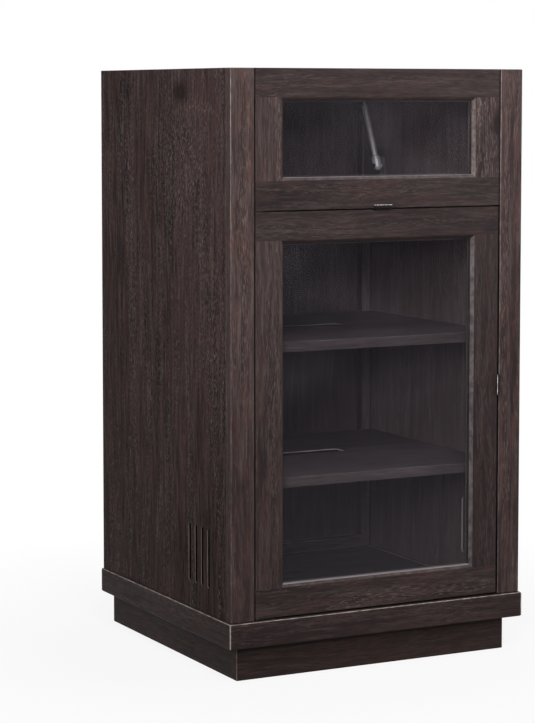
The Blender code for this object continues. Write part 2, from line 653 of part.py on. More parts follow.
def build_door():
    """Lower glazed door, hung on a pivot at each end of its left edge."""
    bottom, top = glazed_frame("door", DOOR_LEFT, DOOR_RIGHT, DOOR_BOTTOM, DOOR_TOP, DOOR_SWING)
    x, y = DOOR_AXIS.x, DOOR_AXIS.y
    for name, rail, edge, inward in (("lower", bottom, DOOR_BOTTOM, 1), ("upper", top, DOOR_TOP, -1)):
        seat = sorted((edge - inward * PIVOT_LEAF, edge + inward * (PIVOT_LEAF + TOUCH)))
        leaf = sorted((edge, edge + inward * PIVOT_LEAF))
        bore_end = edge + inward * (PIVOT_LENGTH + PIVOT_LEAF)
        mouth = edge - inward * PIVOT_LEAF
        recess = door_leaf_box(*seat, TOUCH)
        bore = rod_mesh((x, y, mouth), (x, y, bore_end), PIVOT_RADIUS + PIVOT_BORE_CLEAR)
        cut(rail, recess, bore, carrier=DOOR_SWING)
        plate = to_object(door_leaf_box(*leaf), f"{name}_door_leaf", STEEL, DOOR_SWING)
        eye = rod_mesh((x, y, mouth), (x, y, bore_end), PIVOT_RADIUS + PIVOT_CLEAR)
        cut(plate, eye, carrier=DOOR_SWING)

    plate_low = BASE_TOP - PIVOT_PLATE
    near = FACE + PIVOT_LEAF_COVER
    plate = to_object(
        box_mesh(
            (DOOR_LEFT, near, plate_low),
            (DOOR_LEFT + PIVOT_LEAF_LENGTH, near + PIVOT_LEAF_WIDTH, BASE_TOP),
        ),
        "lower_pivot_plate", STEEL,
    )
    washer = rod_mesh((x, y, plate_low), (x, y, DOOR_BOTTOM - TOUCH), WASHER_RADIUS)
    pivot = rod_mesh((x, y, plate_low), (x, y, DOOR_BOTTOM + PIVOT_LENGTH), PIVOT_RADIUS)
    join(plate, washer, pivot)

    tongue_top = LID_BOTTOM - (SPLIT_GAP - PIVOT_TONGUE) / 2
    tongue_low = tongue_top - PIVOT_TONGUE
    flange_back = DIVIDER_FRONT - TOUCH
    bracket = to_object(
        box_mesh(
            (DOOR_LEFT, near, tongue_low), (DOOR_LEFT + PIVOT_TONGUE_WIDTH, flange_back, tongue_top)
        ),
        "upper_pivot_bracket", STEEL,
    )
    flange = box_mesh(
        (DOOR_LEFT, flange_back - PIVOT_TONGUE, tongue_top - PIVOT_FLANGE_DROP),
        (DOOR_LEFT + PIVOT_LEAF_LENGTH, flange_back, tongue_top),
    )
    pivot = rod_mesh((x, y, DOOR_TOP - PIVOT_LENGTH), (x, y, tongue_top), PIVOT_RADIUS)
    join(bracket, flange, pivot)

    edge = DOOR_RIGHT + TOUCH
    middle = DOOR_BOTTOM + DOOR_PULL_RISE
    strip = [(edge - rise, FACE + depth) for depth, rise in pull_outline()]
    pull = to_object(
        prism_mesh(strip, middle - PULL_LENGTH / 2, middle + PULL_LENGTH / 2, "z"),
        "door_pull", NICKEL, DOOR_SWING,
    )
    smooth(pull)
    build_catch()


def build_catch():
    """Magnet under the divider, and the steel plate on the door that it holds."""
    right = DOOR_RIGHT - CATCH_FROM_RIGHT
    left = right - CATCH_LENGTH
    top = DIVIDER_UNDER - TOUCH
    low = top - CATCH_HEIGHT
    near = FRAME_BACK + 2 * TOUCH + STRIKE_METAL
    board("door_catch", (left, near, low), (right, near + CATCH_DEPTH, top), PLASTIC)
    strike = box_mesh((left, FRAME_BACK + TOUCH, low), (right, FRAME_BACK + TOUCH + STRIKE_METAL, top))
    to_object(strike, "door_strike", STEEL, DOOR_SWING)


def build_struts():
    """Gas struts between the side walls and the lid, one on each hand."""
    for name, hand in (("left", -1), ("right", 1)):
        build_strut(name, hand)


def along_x(hand, x_from, x_to, y, z, radius):
    """A cylinder across the cabinet, on one hand of it."""
    return rod_mesh((hand * x_from, y, z), (hand * x_to, y, z), radius)


def handed_box(hand, x_pair, y_pair, z_pair):
    """A box on one hand of the cabinet."""
    x_low, x_high = sorted(hand * x for x in x_pair)
    return box_mesh((x_low, min(y_pair), min(z_pair)), (x_high, max(y_pair), max(z_pair)))


def build_strut(name, hand):
    """A strut with the board and the brackets that carry its two ends."""
    x_low, x_high = sorted((hand * BOARD_FACE, hand * (INNER - TOUCH)))
    board_back = BATTEN_FRONT - TOUCH
    board(
        f"{name}_strut_board", (x_low, board_back - STRUT_BOARD_WIDTH, DIVIDER_TOP + TOUCH),
        (x_high, board_back, LID_UNDER - STRUT_BOARD_CLEAR), INNER_WOOD,
    )
    head_out = STRUT_X + HEAD_LENGTH / 2
    seat_end = STRUT_X + FITTING_RADIUS - SEAT_DEPTH

    plate_face = BOARD_FACE - TOUCH
    plate = to_object(
        handed_box(
            hand, (plate_face - BRACKET_METAL, plate_face),
            (FOOT.y - BRACKET_WIDTH / 2, FOOT.y + BRACKET_WIDTH / 2),
            (FOOT.z - BRACKET_LENGTH / 2, FOOT.z + BRACKET_LENGTH / 2),
        ),
        f"{name}_strut_wall_bracket", STEEL,
    )
    stud_end = seat_end + STUD_CLEAR
    join(plate, along_x(hand, stud_end, plate_face - BRACKET_METAL / 2, FOOT.y, FOOT.z, STUD_RADIUS))

    ear_in = head_out + BRACKET_METAL
    ear_out = ear_in + BRACKET_METAL
    flange_top = LID_UNDER - TOUCH
    bracket = to_object(
        handed_box(
            hand, (ear_in, ear_out), (HEAD.y - BRACKET_WIDTH / 2, HEAD.y + BRACKET_WIDTH / 2),
            (HEAD.z - HEAD_RADIUS, flange_top),
        ),
        f"{name}_strut_lid_bracket", STEEL, LID_AXIS,
    )
    flange = handed_box(
        hand, (ear_in, INNER - 2 * SIDE_GAP),
        (HEAD.y - BRACKET_WIDTH / 2, HEAD.y + BRACKET_WIDTH / 2), (flange_top - BRACKET_METAL, flange_top),
    )
    stud = along_x(hand, head_out + STUD_CLEAR, ear_out - BRACKET_METAL / 2, HEAD.y, HEAD.z, STUD_RADIUS)
    join(bracket, flange, stud, carrier=LID_AXIS)

    axis = axis_empty(f"{name}_strut_axis", (hand * STRUT_X, FOOT.y, FOOT.z), STRUT_TILT)
    tube_profile = [
        (0, -FITTING_RADIUS), (FITTING_RADIUS - FITTING_TAPER, -FITTING_RADIUS),
        (FITTING_RADIUS, FITTING_TAPER - FITTING_RADIUS), (FITTING_RADIUS, FITTING_LENGTH - FITTING_TAPER),
        (TUBE_RADIUS, FITTING_LENGTH), (TUBE_RADIUS, TUBE_LENGTH - EASE), (TUBE_RADIUS - EASE, TUBE_LENGTH),
        (TUBE_BORE_RADIUS, TUBE_LENGTH), (TUBE_BORE_RADIUS, bore_floor()), (0, bore_floor()),
    ]
    tube = local_object(turned_mesh(tube_profile), f"{name}_strut_tube", STEEL, axis)
    mouth = hand * 2 * FITTING_RADIUS
    seat = rod_mesh((hand * (FITTING_RADIUS - SEAT_DEPTH), 0, 0), (mouth, 0, 0), STUD_RADIUS + STUD_CLEAR)
    local_join(tube, seat, axis, "DIFFERENCE")

    rod_start = TUBE_LENGTH - ROD_BURIED
    rod = local_object(
        rod_mesh((0, 0, rod_start), (0, 0, STRUT_LENGTH), ROD_RADIUS), f"{name}_strut_rod", STEEL, axis
    )
    neck_start, neck_end = STRUT_LENGTH - HEAD_NECK, STRUT_LENGTH - HEAD_RADIUS / 2
    neck = [(0, neck_start), (ROD_RADIUS + EASE, neck_start), (HEAD_LENGTH / 2, neck_end), (0, neck_end)]
    local_join(rod, turned_mesh(neck), axis, "UNION")
    reach = HEAD_LENGTH / 2
    head = rod_mesh((-reach, 0, STRUT_LENGTH), (reach, 0, STRUT_LENGTH), HEAD_RADIUS)
    local_join(rod, head, axis, "UNION")
    for body in (tube, rod):
        smooth(body)


def bore_floor():
    """Bottom of the tube's bore, below the end of the rod."""
    return TUBE_LENGTH - ROD_BURIED - TUBE_NECK


def local_object(mesh_data, name, material, carrier):
    """An object drawn in its carrier's own frame, with the strut along local Z."""
    body = to_object(mesh_data, name, material)
    body.parent = carrier
    return body


def local_join(body, mesh_data, carrier, operation):
    """Cuts or joins a helper shape drawn in the carrier's own frame."""
    combine(body, mesh_data, operation)
    body.modifiers[-1].object.parent = carrier


build_base()
build_sides()
build_inside()
build_lid()
build_long_hinge()
build_door()
build_struts()
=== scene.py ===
"""Dresses the stereo cabinet: dark open-grained timber, grey glass, plated fittings and a plain studio."""

import json
import logging
import math
from collections.abc import Iterable, Sequence
from dataclasses import dataclass, field, replace
from enum import Enum, Flag, auto

import bmesh
import bpy
from mathutils import Matrix, Vector


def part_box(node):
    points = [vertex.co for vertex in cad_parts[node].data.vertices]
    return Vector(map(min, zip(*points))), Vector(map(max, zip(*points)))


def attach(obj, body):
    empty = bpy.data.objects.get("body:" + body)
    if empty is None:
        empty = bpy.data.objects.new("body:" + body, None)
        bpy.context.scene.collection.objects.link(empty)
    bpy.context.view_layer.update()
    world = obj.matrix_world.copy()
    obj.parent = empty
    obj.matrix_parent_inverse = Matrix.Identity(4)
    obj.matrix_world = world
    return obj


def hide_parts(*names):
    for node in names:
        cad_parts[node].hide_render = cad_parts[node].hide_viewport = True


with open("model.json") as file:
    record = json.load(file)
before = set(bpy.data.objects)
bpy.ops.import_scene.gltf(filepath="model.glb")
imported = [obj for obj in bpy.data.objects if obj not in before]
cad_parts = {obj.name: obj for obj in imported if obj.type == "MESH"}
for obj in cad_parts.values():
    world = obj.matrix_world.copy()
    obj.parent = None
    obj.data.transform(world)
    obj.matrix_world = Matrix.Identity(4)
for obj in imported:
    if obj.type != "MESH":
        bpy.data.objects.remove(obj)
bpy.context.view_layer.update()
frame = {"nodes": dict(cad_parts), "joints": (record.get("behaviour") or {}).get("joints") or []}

LOG = logging.getLogger("stereo_cabinet")
SAME_POINT = 1e-6
HANDS = {"left": -1, "right": 1}

Colour = tuple[float, float, float]
Triple = tuple[float, float, float]
Span = tuple[float, float]
Socket = bpy.types.NodeSocket
Material = bpy.types.Material
Piece = bpy.types.Object


def srgb(red: int, green: int, blue: int) -> Colour:
    """Turns a colour as a screen shows it, 0 to 255, into linear light.

    Args:
        red: Red level.
        green: Green level.
        blue: Blue level.

    Returns:
        The three levels in linear light, 0 to 1.
    """
    levels = [level / 255 for level in (red, green, blue)]
    linear = [level / 12.92 if level <= 0.04045 else ((level + 0.055) / 1.055) ** 2.4 for level in levels]
    return linear[0], linear[1], linear[2]


class Grain(Enum):
    """Way that a board's grain runs, with the turn that lays it along the pattern's Z."""

    ALONG_X = (0.0, math.pi / 2, 0.0)
    ALONG_Y = (math.pi / 2, 0.0, 0.0)
    ALONG_Z = (0.0, 0.0, 0.0)


class Side(Flag):
    """Sides of a board's box, of which any two that meet make an edge that can be drawn pale, partly as
    rubbing marks and partly as painted highlight.
    """

    NONE = 0
    LEFT = auto()
    RIGHT = auto()
    FRONT = auto()
    BACK = auto()
    BOTTOM = auto()
    TOP = auto()


AXES = ((Side.LEFT, Side.RIGHT), (Side.FRONT, Side.BACK), (Side.BOTTOM, Side.TOP))


class Layer(Enum):
    """A layer of the grain: cells to the metre across it and along it, octaves, and how rough they are."""

    DRIFT = (7.0, 3.0, 2.0, 0.5)
    WAVE = (45.0, 14.0, 2.0, 0.5)
    TONE = (11.0, 2.4, 3.0, 0.6)
    STREAK = (70.0, 3.5, 3.0, 0.6)
    BAND = (150.0, 8.0, 3.0, 0.65)
    FIBRE = (560.0, 36.0, 3.0, 0.7)
    PORE = (520.0, 64.0, 2.0, 0.65)
    PATCH = (38.0, 3.0, 3.0, 0.6)
    HUE = (60.0, 14.0, 2.0, 0.5)
    RUB = (70.0, 70.0, 3.0, 0.6)


@dataclass(frozen=True)
class Vein:
    """How a layer of the grain brings in a tone, by two levels of its noise and the shares at them."""

    layer: Layer
    tone: str
    levels: Span
    shares: Span = (0.0, 1.0)


VEINS = (
    Vein(Layer.TONE, "body", (0.34, 0.60)),
    Vein(Layer.BAND, "light", (0.46, 0.70), (0.0, 0.85)),
    Vein(Layer.HUE, "warm", (0.48, 0.66), (0.0, 0.55)),
    Vein(Layer.STREAK, "dark", (0.54, 0.68), (0.0, 0.6)),
    Vein(Layer.FIBRE, "dark", (0.38, 0.54), (0.65, 0.0)),
)

# Where masks start and end, and how boards are cut from one length of timber
NOISE_MIDDLE = 0.5
FAR_OFF = 1.0
LINE_FADE = 0.6
ARRIS_LEVELS = (0.90, 0.97)
FACING_LEVELS = (0.85, 0.95)
WALL_LEVELS = (0.3, 0.5)
SLOT_RIM = (0.0021, 0.0030)
OVAL_LEVELS = (0.4, 1.0)
CUT_SPAN = 3.0
CUT_STEPS = (0.618, 0.755, 0.570)


@dataclass(frozen=True)
class Noise:
    """A noise: cells to the metre along X, Y and Z, octaves, and how strong the finer ones are."""

    cells: Triple
    octaves: float = 2.0
    rough: float = 0.6


@dataclass(frozen=True)
class Figure:
    """An oval place in a board where the grain is dark, as round a knot, or where pale flecks gather."""

    middle: Triple
    reach: Triple
    dark: bool


@dataclass(frozen=True)
class WearAndShade:
    """How a board's edges are made pale, where it takes painted shade and painted light, and how it is cut,
    told by the sides of its box.
    """

    # The pale tone on eased arrises and along edge lines is partly rubbing marks and partly painted
    # highlight.
    eased: float = 0.0
    edges: Side = Side.NONE
    # Painted highlight: the edge lines are brightest near this side and fade away from it.
    fade_from: Side = Side.NONE
    # A strip along one side in the pale tone: painted highlight on the bottom rails, painted shade beside
    # the battens and painted light on the strut boards' fronts.
    lip: Side = Side.NONE
    # Painted shade: faces that look into gaps or lie in shadow are painted near black.
    shaded_sides: Side = Side.NONE
    # Painted shade: a dark strip on the front face along this side deepens the gap beside it.
    shaded_edge: Side = Side.NONE
    lined: Side = Side.NONE
    # Slot walls are painted near black as shade, with a rim of painted light where the slot opens.
    slots: Side = Side.NONE
    slot_lip: float = 0.0022
    slot_rim_light: Colour | None = None
    figures: tuple[Figure, ...] = ()


class Drawing:
    """A node tree and the short calls that draw it."""

    def __init__(self, tree: bpy.types.NodeTree) -> None:
        """Keeps the tree that the calls draw in."""
        self.tree = tree

    def add(self, kind: str, inputs: dict | None = None, **settings: object) -> bpy.types.Node:
        """Adds a node.

        Args:
            kind: Blender's name for the node's type.
            inputs: Value or other node's output for each socket, by name or number.
            settings: Properties of the node itself.

        Returns:
            The new node.
        """
        node = self.tree.nodes.new(kind)
        for key, value in settings.items():
            setattr(node, key, value)
        for key, value in (inputs or {}).items():
            self.feed(node.inputs[key], value)
        return node

    def out(self, kind: str, inputs: dict | None = None, **settings: object) -> Socket:
        """Adds a node and gives back its first output."""
        return self.add(kind, inputs, **settings).outputs[0]

    def math(self, operation: str, first: object, second: object) -> Socket:
        """Does one sum on two numbers."""
        return self.out("ShaderNodeMath", {0: first, 1: second}, operation=operation)

    def feed(self, socket: Socket, value: object) -> None:
        """Links a socket to another node's output, or sets it to a plain value.

        Args:
            socket: Input to fill.
            value: Output socket to link, or the value to hold.
        """
        if isinstance(value, Socket):
            self.tree.links.new(value, socket)
        elif socket.type == "RGBA":
            socket.default_value = (*value, 1.0)
        else:
            socket.default_value = value


class Shading(Drawing):
    """A principled material, drawn on the piece's own coordinates."""

    def __init__(self, name: str) -> None:
        """Makes the material.

        Args:
            name: Name of the material.
        """
        self.material = bpy.data.materials.new(name)
        self.material.use_nodes = True
        super().__init__(self.material.node_tree)
        self.shader = self.tree.nodes["Principled BSDF"]

    def surface(self, inputs: dict) -> Material:
        """Fills the shader's sockets.

        Args:
            inputs: Value or other node's output for each socket, by name.

        Returns:
            The material.
        """
        for key, value in inputs.items():
            self.feed(self.shader.inputs[key], value)
        return self.material

    def place(self, shift: Triple, turn: Triple = (0.0, 0.0, 0.0)) -> Socket:
        """Reads the piece's own coordinates in metres, turned about X, Y and Z and then shifted."""
        coords = self.add("ShaderNodeTexCoord").outputs["Object"]
        return self.out("ShaderNodeMapping", {"Vector": coords, "Rotation": turn, "Location": shift})

    def vector(self, operation: str, first: object, second: object) -> Socket:
        """Does one sum on two vectors."""
        return self.out("ShaderNodeVectorMath", {0: first, 1: second}, operation=operation)

    def noise(self, place: Socket, noise: Noise, output: int | str = 0) -> Socket:
        """Adds a noise.

        Args:
            place: Where it is read.
            noise: Its kind.
            output: Output to read, by number or name.

        Returns:
            The noise.
        """
        stretched = self.vector("MULTIPLY", place, noise.cells)
        inputs = {"Vector": stretched, "Scale": 1.0, "Detail": noise.octaves, "Roughness": noise.rough}
        return self.add("ShaderNodeTexNoise", inputs).outputs[output]

    def remap(self, value: object, levels: Span, to: Span = (0.0, 1.0)) -> Socket:
        """Carries a range of levels to another and holds what lies outside at its ends."""
        return self.out("ShaderNodeMapRange", dict(enumerate((value, *levels, *to))))

    def mix(self, share: object, first: object, second: object) -> Socket:
        """Blends two colours, by the share of the second one that shows."""
        return self.add("ShaderNodeMix", {0: share, 6: first, 7: second}, data_type="RGBA").outputs[2]

    def bump(self, height: Socket, depth: float, strength: float) -> Socket:
        """Turns a height into a normal, over a depth in metres."""
        return self.out("ShaderNodeBump", {"Height": height, "Distance": depth, "Strength": strength})

    def looks(self) -> Socket:
        """Reads the way that the face looks.

        Returns:
            Its direction in the piece's own axes.
        """
        normal = self.add("ShaderNodeNewGeometry").outputs["True Normal"]
        axes = {"vector_type": "NORMAL", "convert_from": "WORLD", "convert_to": "OBJECT"}
        return self.out("ShaderNodeVectorTransform", {0: normal}, **axes)

    def sizes(self) -> Sequence[Socket]:
        """Gives the size of each part of the way that the face looks."""
        size = self.out("ShaderNodeVectorMath", {0: self.looks()}, operation="ABSOLUTE")
        return self.add("ShaderNodeSeparateXYZ", {0: size}).outputs

    def arris(self) -> Socket:
        """Finds eased edges, as the faces that are square to none of the three axes.

        Returns:
            1 on an eased edge and 0 on a face.
        """
        x, y, z = self.sizes()
        largest = self.math("MAXIMUM", self.math("MAXIMUM", x, y), z)
        return self.remap(largest, ARRIS_LEVELS, (1.0, 0.0))


class BoxShading(Shading):
    """Material of one piece, which knows how deep each place is from the sides of the piece's box."""

    def __init__(self, name: str, node: str) -> None:
        """Makes the material and measures the piece.

        Args:
            name: Name of the material.
            node: Solid that it is for.
        """
        super().__init__(name)
        corners = [vertex.co for vertex in frame["nodes"][node].data.vertices]
        self.coords = self.add("ShaderNodeTexCoord").outputs["Object"]
        parts = self.add("ShaderNodeSeparateXYZ", {0: self.coords}).outputs
        self.depths: dict[Side, Socket] = {}
        for axis, (first, last) in enumerate(AXES):
            self.depths[first] = self.math("SUBTRACT", parts[axis], min(corner[axis] for corner in corners))
            self.depths[last] = self.math("SUBTRACT", max(corner[axis] for corner in corners), parts[axis])

    def layer(
        self, place: Socket, layer: Layer, broad: float = 1.0, short: float = 1.0, output: int | str = 0
    ) -> Socket:
        """Adds one layer of the grain, which runs along Z.

        Args:
            place: Where it is read.
            layer: Layer to add.
            broad: How many times broader than usual its cells are.
            short: How many times shorter than usual its cells are.
            output: Output to read, by number or name.

        Returns:
            The noise.
        """
        across, along, octaves, rough = layer.value
        cells = (across / broad, across / broad, along * short)
        return self.noise(place, Noise(cells, octaves, rough), output)

    def nearest(self, sides: Iterable[Side]) -> object:
        """Measures from the nearest of some sides.

        Args:
            sides: Sides that count.

        Returns:
            The depth from it.
        """
        depth: object = FAR_OFF
        for side in sides:
            depth = self.math("MINIMUM", self.depths[side], depth)
        return depth

    def strip(self, depth: object, width: float) -> Socket:
        """Finds the strip that is no deeper than its width, as 1 on it and 0 past it."""
        return self.remap(depth, (width * LINE_FADE, width), (1.0, 0.0))

    def tip(self, side: Side, width: float) -> Socket:
        """Finds the strip along one side of the box."""
        return self.strip(self.depths[side], width)

    def edge_line(self, sides: Side, width: float) -> Socket:
        """Finds the edges of the box where two of the chosen sides meet.

        Args:
            sides: Sides that count.
            width: How far the line reaches from the edge.

        Returns:
            1 along those edges and 0 away from them.
        """
        x, y, z = (self.nearest(side for side in pair if side in sides) for pair in AXES)
        inner = self.math("MINIMUM", self.math("MAXIMUM", x, y), z)
        middle = self.math("MAXIMUM", self.math("MINIMUM", x, y), inner)
        return self.strip(middle, width)

    def facing(self, sides: Side) -> Socket:
        """Finds the faces that look out of the chosen sides.

        Args:
            sides: Sides that count.

        Returns:
            1 on those faces and 0 elsewhere.
        """
        parts = self.add("ShaderNodeSeparateXYZ", {0: self.looks()}).outputs
        out: object = 0.0
        for axis, (first, last) in enumerate(AXES):
            if first in sides:
                out = self.math("MAXIMUM", self.math("MULTIPLY", parts[axis], -1.0), out)
            if last in sides:
                out = self.math("MAXIMUM", parts[axis], out)
        return self.remap(out, FACING_LEVELS)

    def slot_walls(self, sides: Side) -> Socket:
        """Finds the walls of slots that go through the board from side to side.

        Args:
            sides: The two sides that the slots open on.

        Returns:
            1 on the walls and 0 elsewhere.
        """
        axis = next(index for index, pair in enumerate(AXES) if pair[0] in sides)
        around = [other for index, pair in enumerate(AXES) if index != axis for other in pair]
        wall = self.remap(self.sizes()[axis], WALL_LEVELS, (1.0, 0.0))
        return self.math("MULTIPLY", wall, self.remap(self.nearest(around), SLOT_RIM))

    def oval(self, figure: Figure, wobble: Socket) -> Socket:
        """Finds a figure's oval, with a ragged edge.

        Args:
            figure: Figure to find.
            wobble: Noise that makes the edge ragged.

        Returns:
            1 in its middle and 0 outside it.
        """
        away = self.vector("DIVIDE", self.vector("SUBTRACT", self.coords, figure.middle), figure.reach)
        length = self.add("ShaderNodeVectorMath", {0: away}, operation="LENGTH").outputs["Value"]
        ragged = self.math("ADD", length, self.math("SUBTRACT", wobble, NOISE_MIDDLE))
        return self.remap(ragged, OVAL_LEVELS, (1.0, 0.0))


@dataclass(frozen=True)
class TimberFinish:
    """Stained timber, brushed along an open grain and flecked in its pores, with pale edges that are partly
    rubbing marks and partly painted highlight, and with painted shade and light where a board asks for them.
    """

    name: str
    dark: Colour
    body: Colour
    light: Colour
    warm: Colour
    pale: Colour
    # Pale tone of edges, lips and slot rims: partly rubbing marks and partly painted highlight, but painted
    # shade on the battens and painted light on the strut boards.
    worn_and_shading_tone: Colour
    flecks: float
    wear_and_shade: float = 0.85
    line: float = 0.0010
    # How far from the chosen side the edge lines' painted highlight fades, and how much of it is left.
    fade_reach: Span = (0.14, 0.30)
    fade_rest: float = 0.4
    lip_line: float = 0.0016
    lip_share: float = 0.6
    broad: float = 1.0
    short: float = 1.0
    lining: float = 0.4
    lining_tone: Colour = srgb(84, 78, 78)
    # Near-black tone of painted shade, for faces in gaps, strips along gaps and slot walls.
    painted_shade: Colour = srgb(13, 11, 11)
    # Width of the painted shade strip that runs onto the front along a gap.
    shaded_edge_width: float = 0.0024
    drift: float = 0.03
    wave: float = 0.0015
    pore_levels: Span = (0.50, 0.68)
    pore_depth: float = 0.8
    patch_levels: Span = (0.42, 0.62)
    patch_least: float = 0.08
    knot_share: float = 0.85
    break_levels: Span = (0.38, 0.62)
    break_least: float = 0.35
    fibre_levels: Span = (0.3, 0.7)
    roughness: float = 0.62
    rough_play: Span = (0.10, -0.08)
    gloss: float = 0.08
    relief: float = 0.0005
    relief_share: float = 0.5

    def grain(
        self, sheet: BoxShading, place: Socket, figures: Iterable[Figure]
    ) -> tuple[Socket, Socket, Socket]:
        """Draws the bare timber.

        Args:
            sheet: Material of the board.
            place: Where the pattern is read, with the grain along Z.
            figures: Knots and gathered flecks.

        Returns:
            Its colour, its fibres and its pores.
        """
        along = place
        for layer, sway in ((Layer.DRIFT, self.drift), (Layer.WAVE, self.wave)):
            push = sheet.vector("SUBTRACT", sheet.layer(place, layer, output="Color"), (NOISE_MIDDLE,) * 3)
            along = sheet.vector("ADD", along, sheet.vector("MULTIPLY", push, (sway, sway, 0.0)))
        pore = sheet.layer(along, Layer.PORE, self.broad, self.short)
        patch = sheet.layer(place, Layer.PATCH, self.broad)
        noises = {vein.layer: sheet.layer(along, vein.layer, self.broad) for vein in VEINS}
        colour: object = self.dark
        for vein in VEINS:
            share = sheet.remap(noises[vein.layer], vein.levels, vein.shares)
            colour = sheet.mix(share, colour, getattr(self, vein.tone))
        gathered = sheet.remap(patch, self.patch_levels, (self.patch_least, 1.0))
        for figure in figures:
            oval = sheet.oval(figure, patch)
            if figure.dark:
                colour = sheet.mix(sheet.math("MULTIPLY", oval, self.knot_share), colour, self.dark)
                gathered = sheet.math("MULTIPLY", gathered, sheet.math("SUBTRACT", 1.0, oval))
            else:
                gathered = sheet.math("MAXIMUM", gathered, oval)
        fleck = sheet.math("MULTIPLY", sheet.remap(pore, self.pore_levels, (0.0, self.flecks)), gathered)
        return sheet.mix(fleck, colour, self.pale), noises[Layer.FIBRE], pore

    def worn_and_highlit(self, sheet: BoxShading, wear_and_shade: WearAndShade) -> Socket:
        """Finds the pale edges, partly rubbing marks and partly painted highlight.

        Args:
            sheet: Material of the board.
            wear_and_shade: Which edges are pale.

        Returns:
            How much of the paler tone shows.
        """
        edge = sheet.math("MULTIPLY", sheet.arris(), wear_and_shade.eased)
        if not wear_and_shade.edges:
            return edge
        line = sheet.math("MULTIPLY", sheet.edge_line(wear_and_shade.edges, self.line), self.wear_and_shade)
        # Painted highlight: the edge line fades away from the chosen side.
        if wear_and_shade.fade_from:
            fade = sheet.remap(sheet.depths[wear_and_shade.fade_from], self.fade_reach, (1.0, self.fade_rest))
            line = sheet.math("MULTIPLY", line, fade)
        return sheet.math("MAXIMUM", edge, line)

    def board(self, node: str, grain: Grain, number: int, wear_and_shade: WearAndShade) -> Material:
        """Makes the material of one board, cut from its own place in the timber.

        Args:
            node: Board that it is for.
            grain: Way the grain runs.
            number: Count of the board, which sets where it is cut.
            wear_and_shade: How its edges are made pale, where it takes painted shade and painted light, and
                how it is cut.

        Returns:
            The material.
        """
        sheet = BoxShading(f"{self.name}_{node}", node)
        cut = tuple(CUT_SPAN * ((number + 1) * step % 1.0) for step in CUT_STEPS)
        place = sheet.place(cut, grain.value)
        colour, fibre, pore = self.grain(sheet, place, wear_and_shade.figures)
        # The pale tone on arrises and edge lines, broken into patches, is partly rubbing marks and partly
        # painted highlight.
        patchy = sheet.remap(sheet.layer(place, Layer.RUB), self.break_levels, (self.break_least, 1.0))
        colour = sheet.mix(sheet.math("MULTIPLY", self.worn_and_highlit(sheet, wear_and_shade), patchy), colour, self.worn_and_shading_tone)
        # A strip along one side in the finish's pale tone, which is painted highlight on the bottom rails,
        # painted shade on the battens and painted light on the strut boards.
        if wear_and_shade.lip:
            lip = sheet.math("MULTIPLY", sheet.tip(wear_and_shade.lip, self.lip_line), self.lip_share)
            colour = sheet.mix(lip, colour, self.worn_and_shading_tone)
        if wear_and_shade.lined:
            lining = sheet.math("MULTIPLY", sheet.facing(wear_and_shade.lined), self.lining)
            colour = sheet.mix(lining, colour, self.lining_tone)
        # Painted shade: faces that look into gaps or lie in shadow are painted near black.
        if wear_and_shade.shaded_sides:
            colour = sheet.mix(sheet.facing(wear_and_shade.shaded_sides), colour, self.painted_shade)
        # Painted shade: a dark strip runs onto the front face along a gap.
        if wear_and_shade.shaded_edge:
            colour = sheet.mix(sheet.tip(wear_and_shade.shaded_edge, self.shaded_edge_width), colour, self.painted_shade)
        # Painted shade on the slot walls, which are near black, and painted light on their rim where the
        # slot opens.
        if wear_and_shade.slots:
            rim = sheet.strip(sheet.nearest(wear_and_shade.slots), wear_and_shade.slot_lip)
            inside = sheet.mix(rim, self.painted_shade, wear_and_shade.slot_rim_light or self.worn_and_shading_tone)
            colour = sheet.mix(sheet.slot_walls(wear_and_shade.slots), colour, inside)
        height = sheet.math("SUBTRACT", fibre, sheet.math("MULTIPLY", pore, self.pore_depth))
        rough = tuple(self.roughness + play for play in self.rough_play)
        return sheet.surface({
            "Base Color": colour,
            "Roughness": sheet.remap(fibre, self.fibre_levels, rough),
            "Specular IOR Level": self.gloss,
            "Normal": sheet.bump(height, self.relief, self.relief_share),
        })


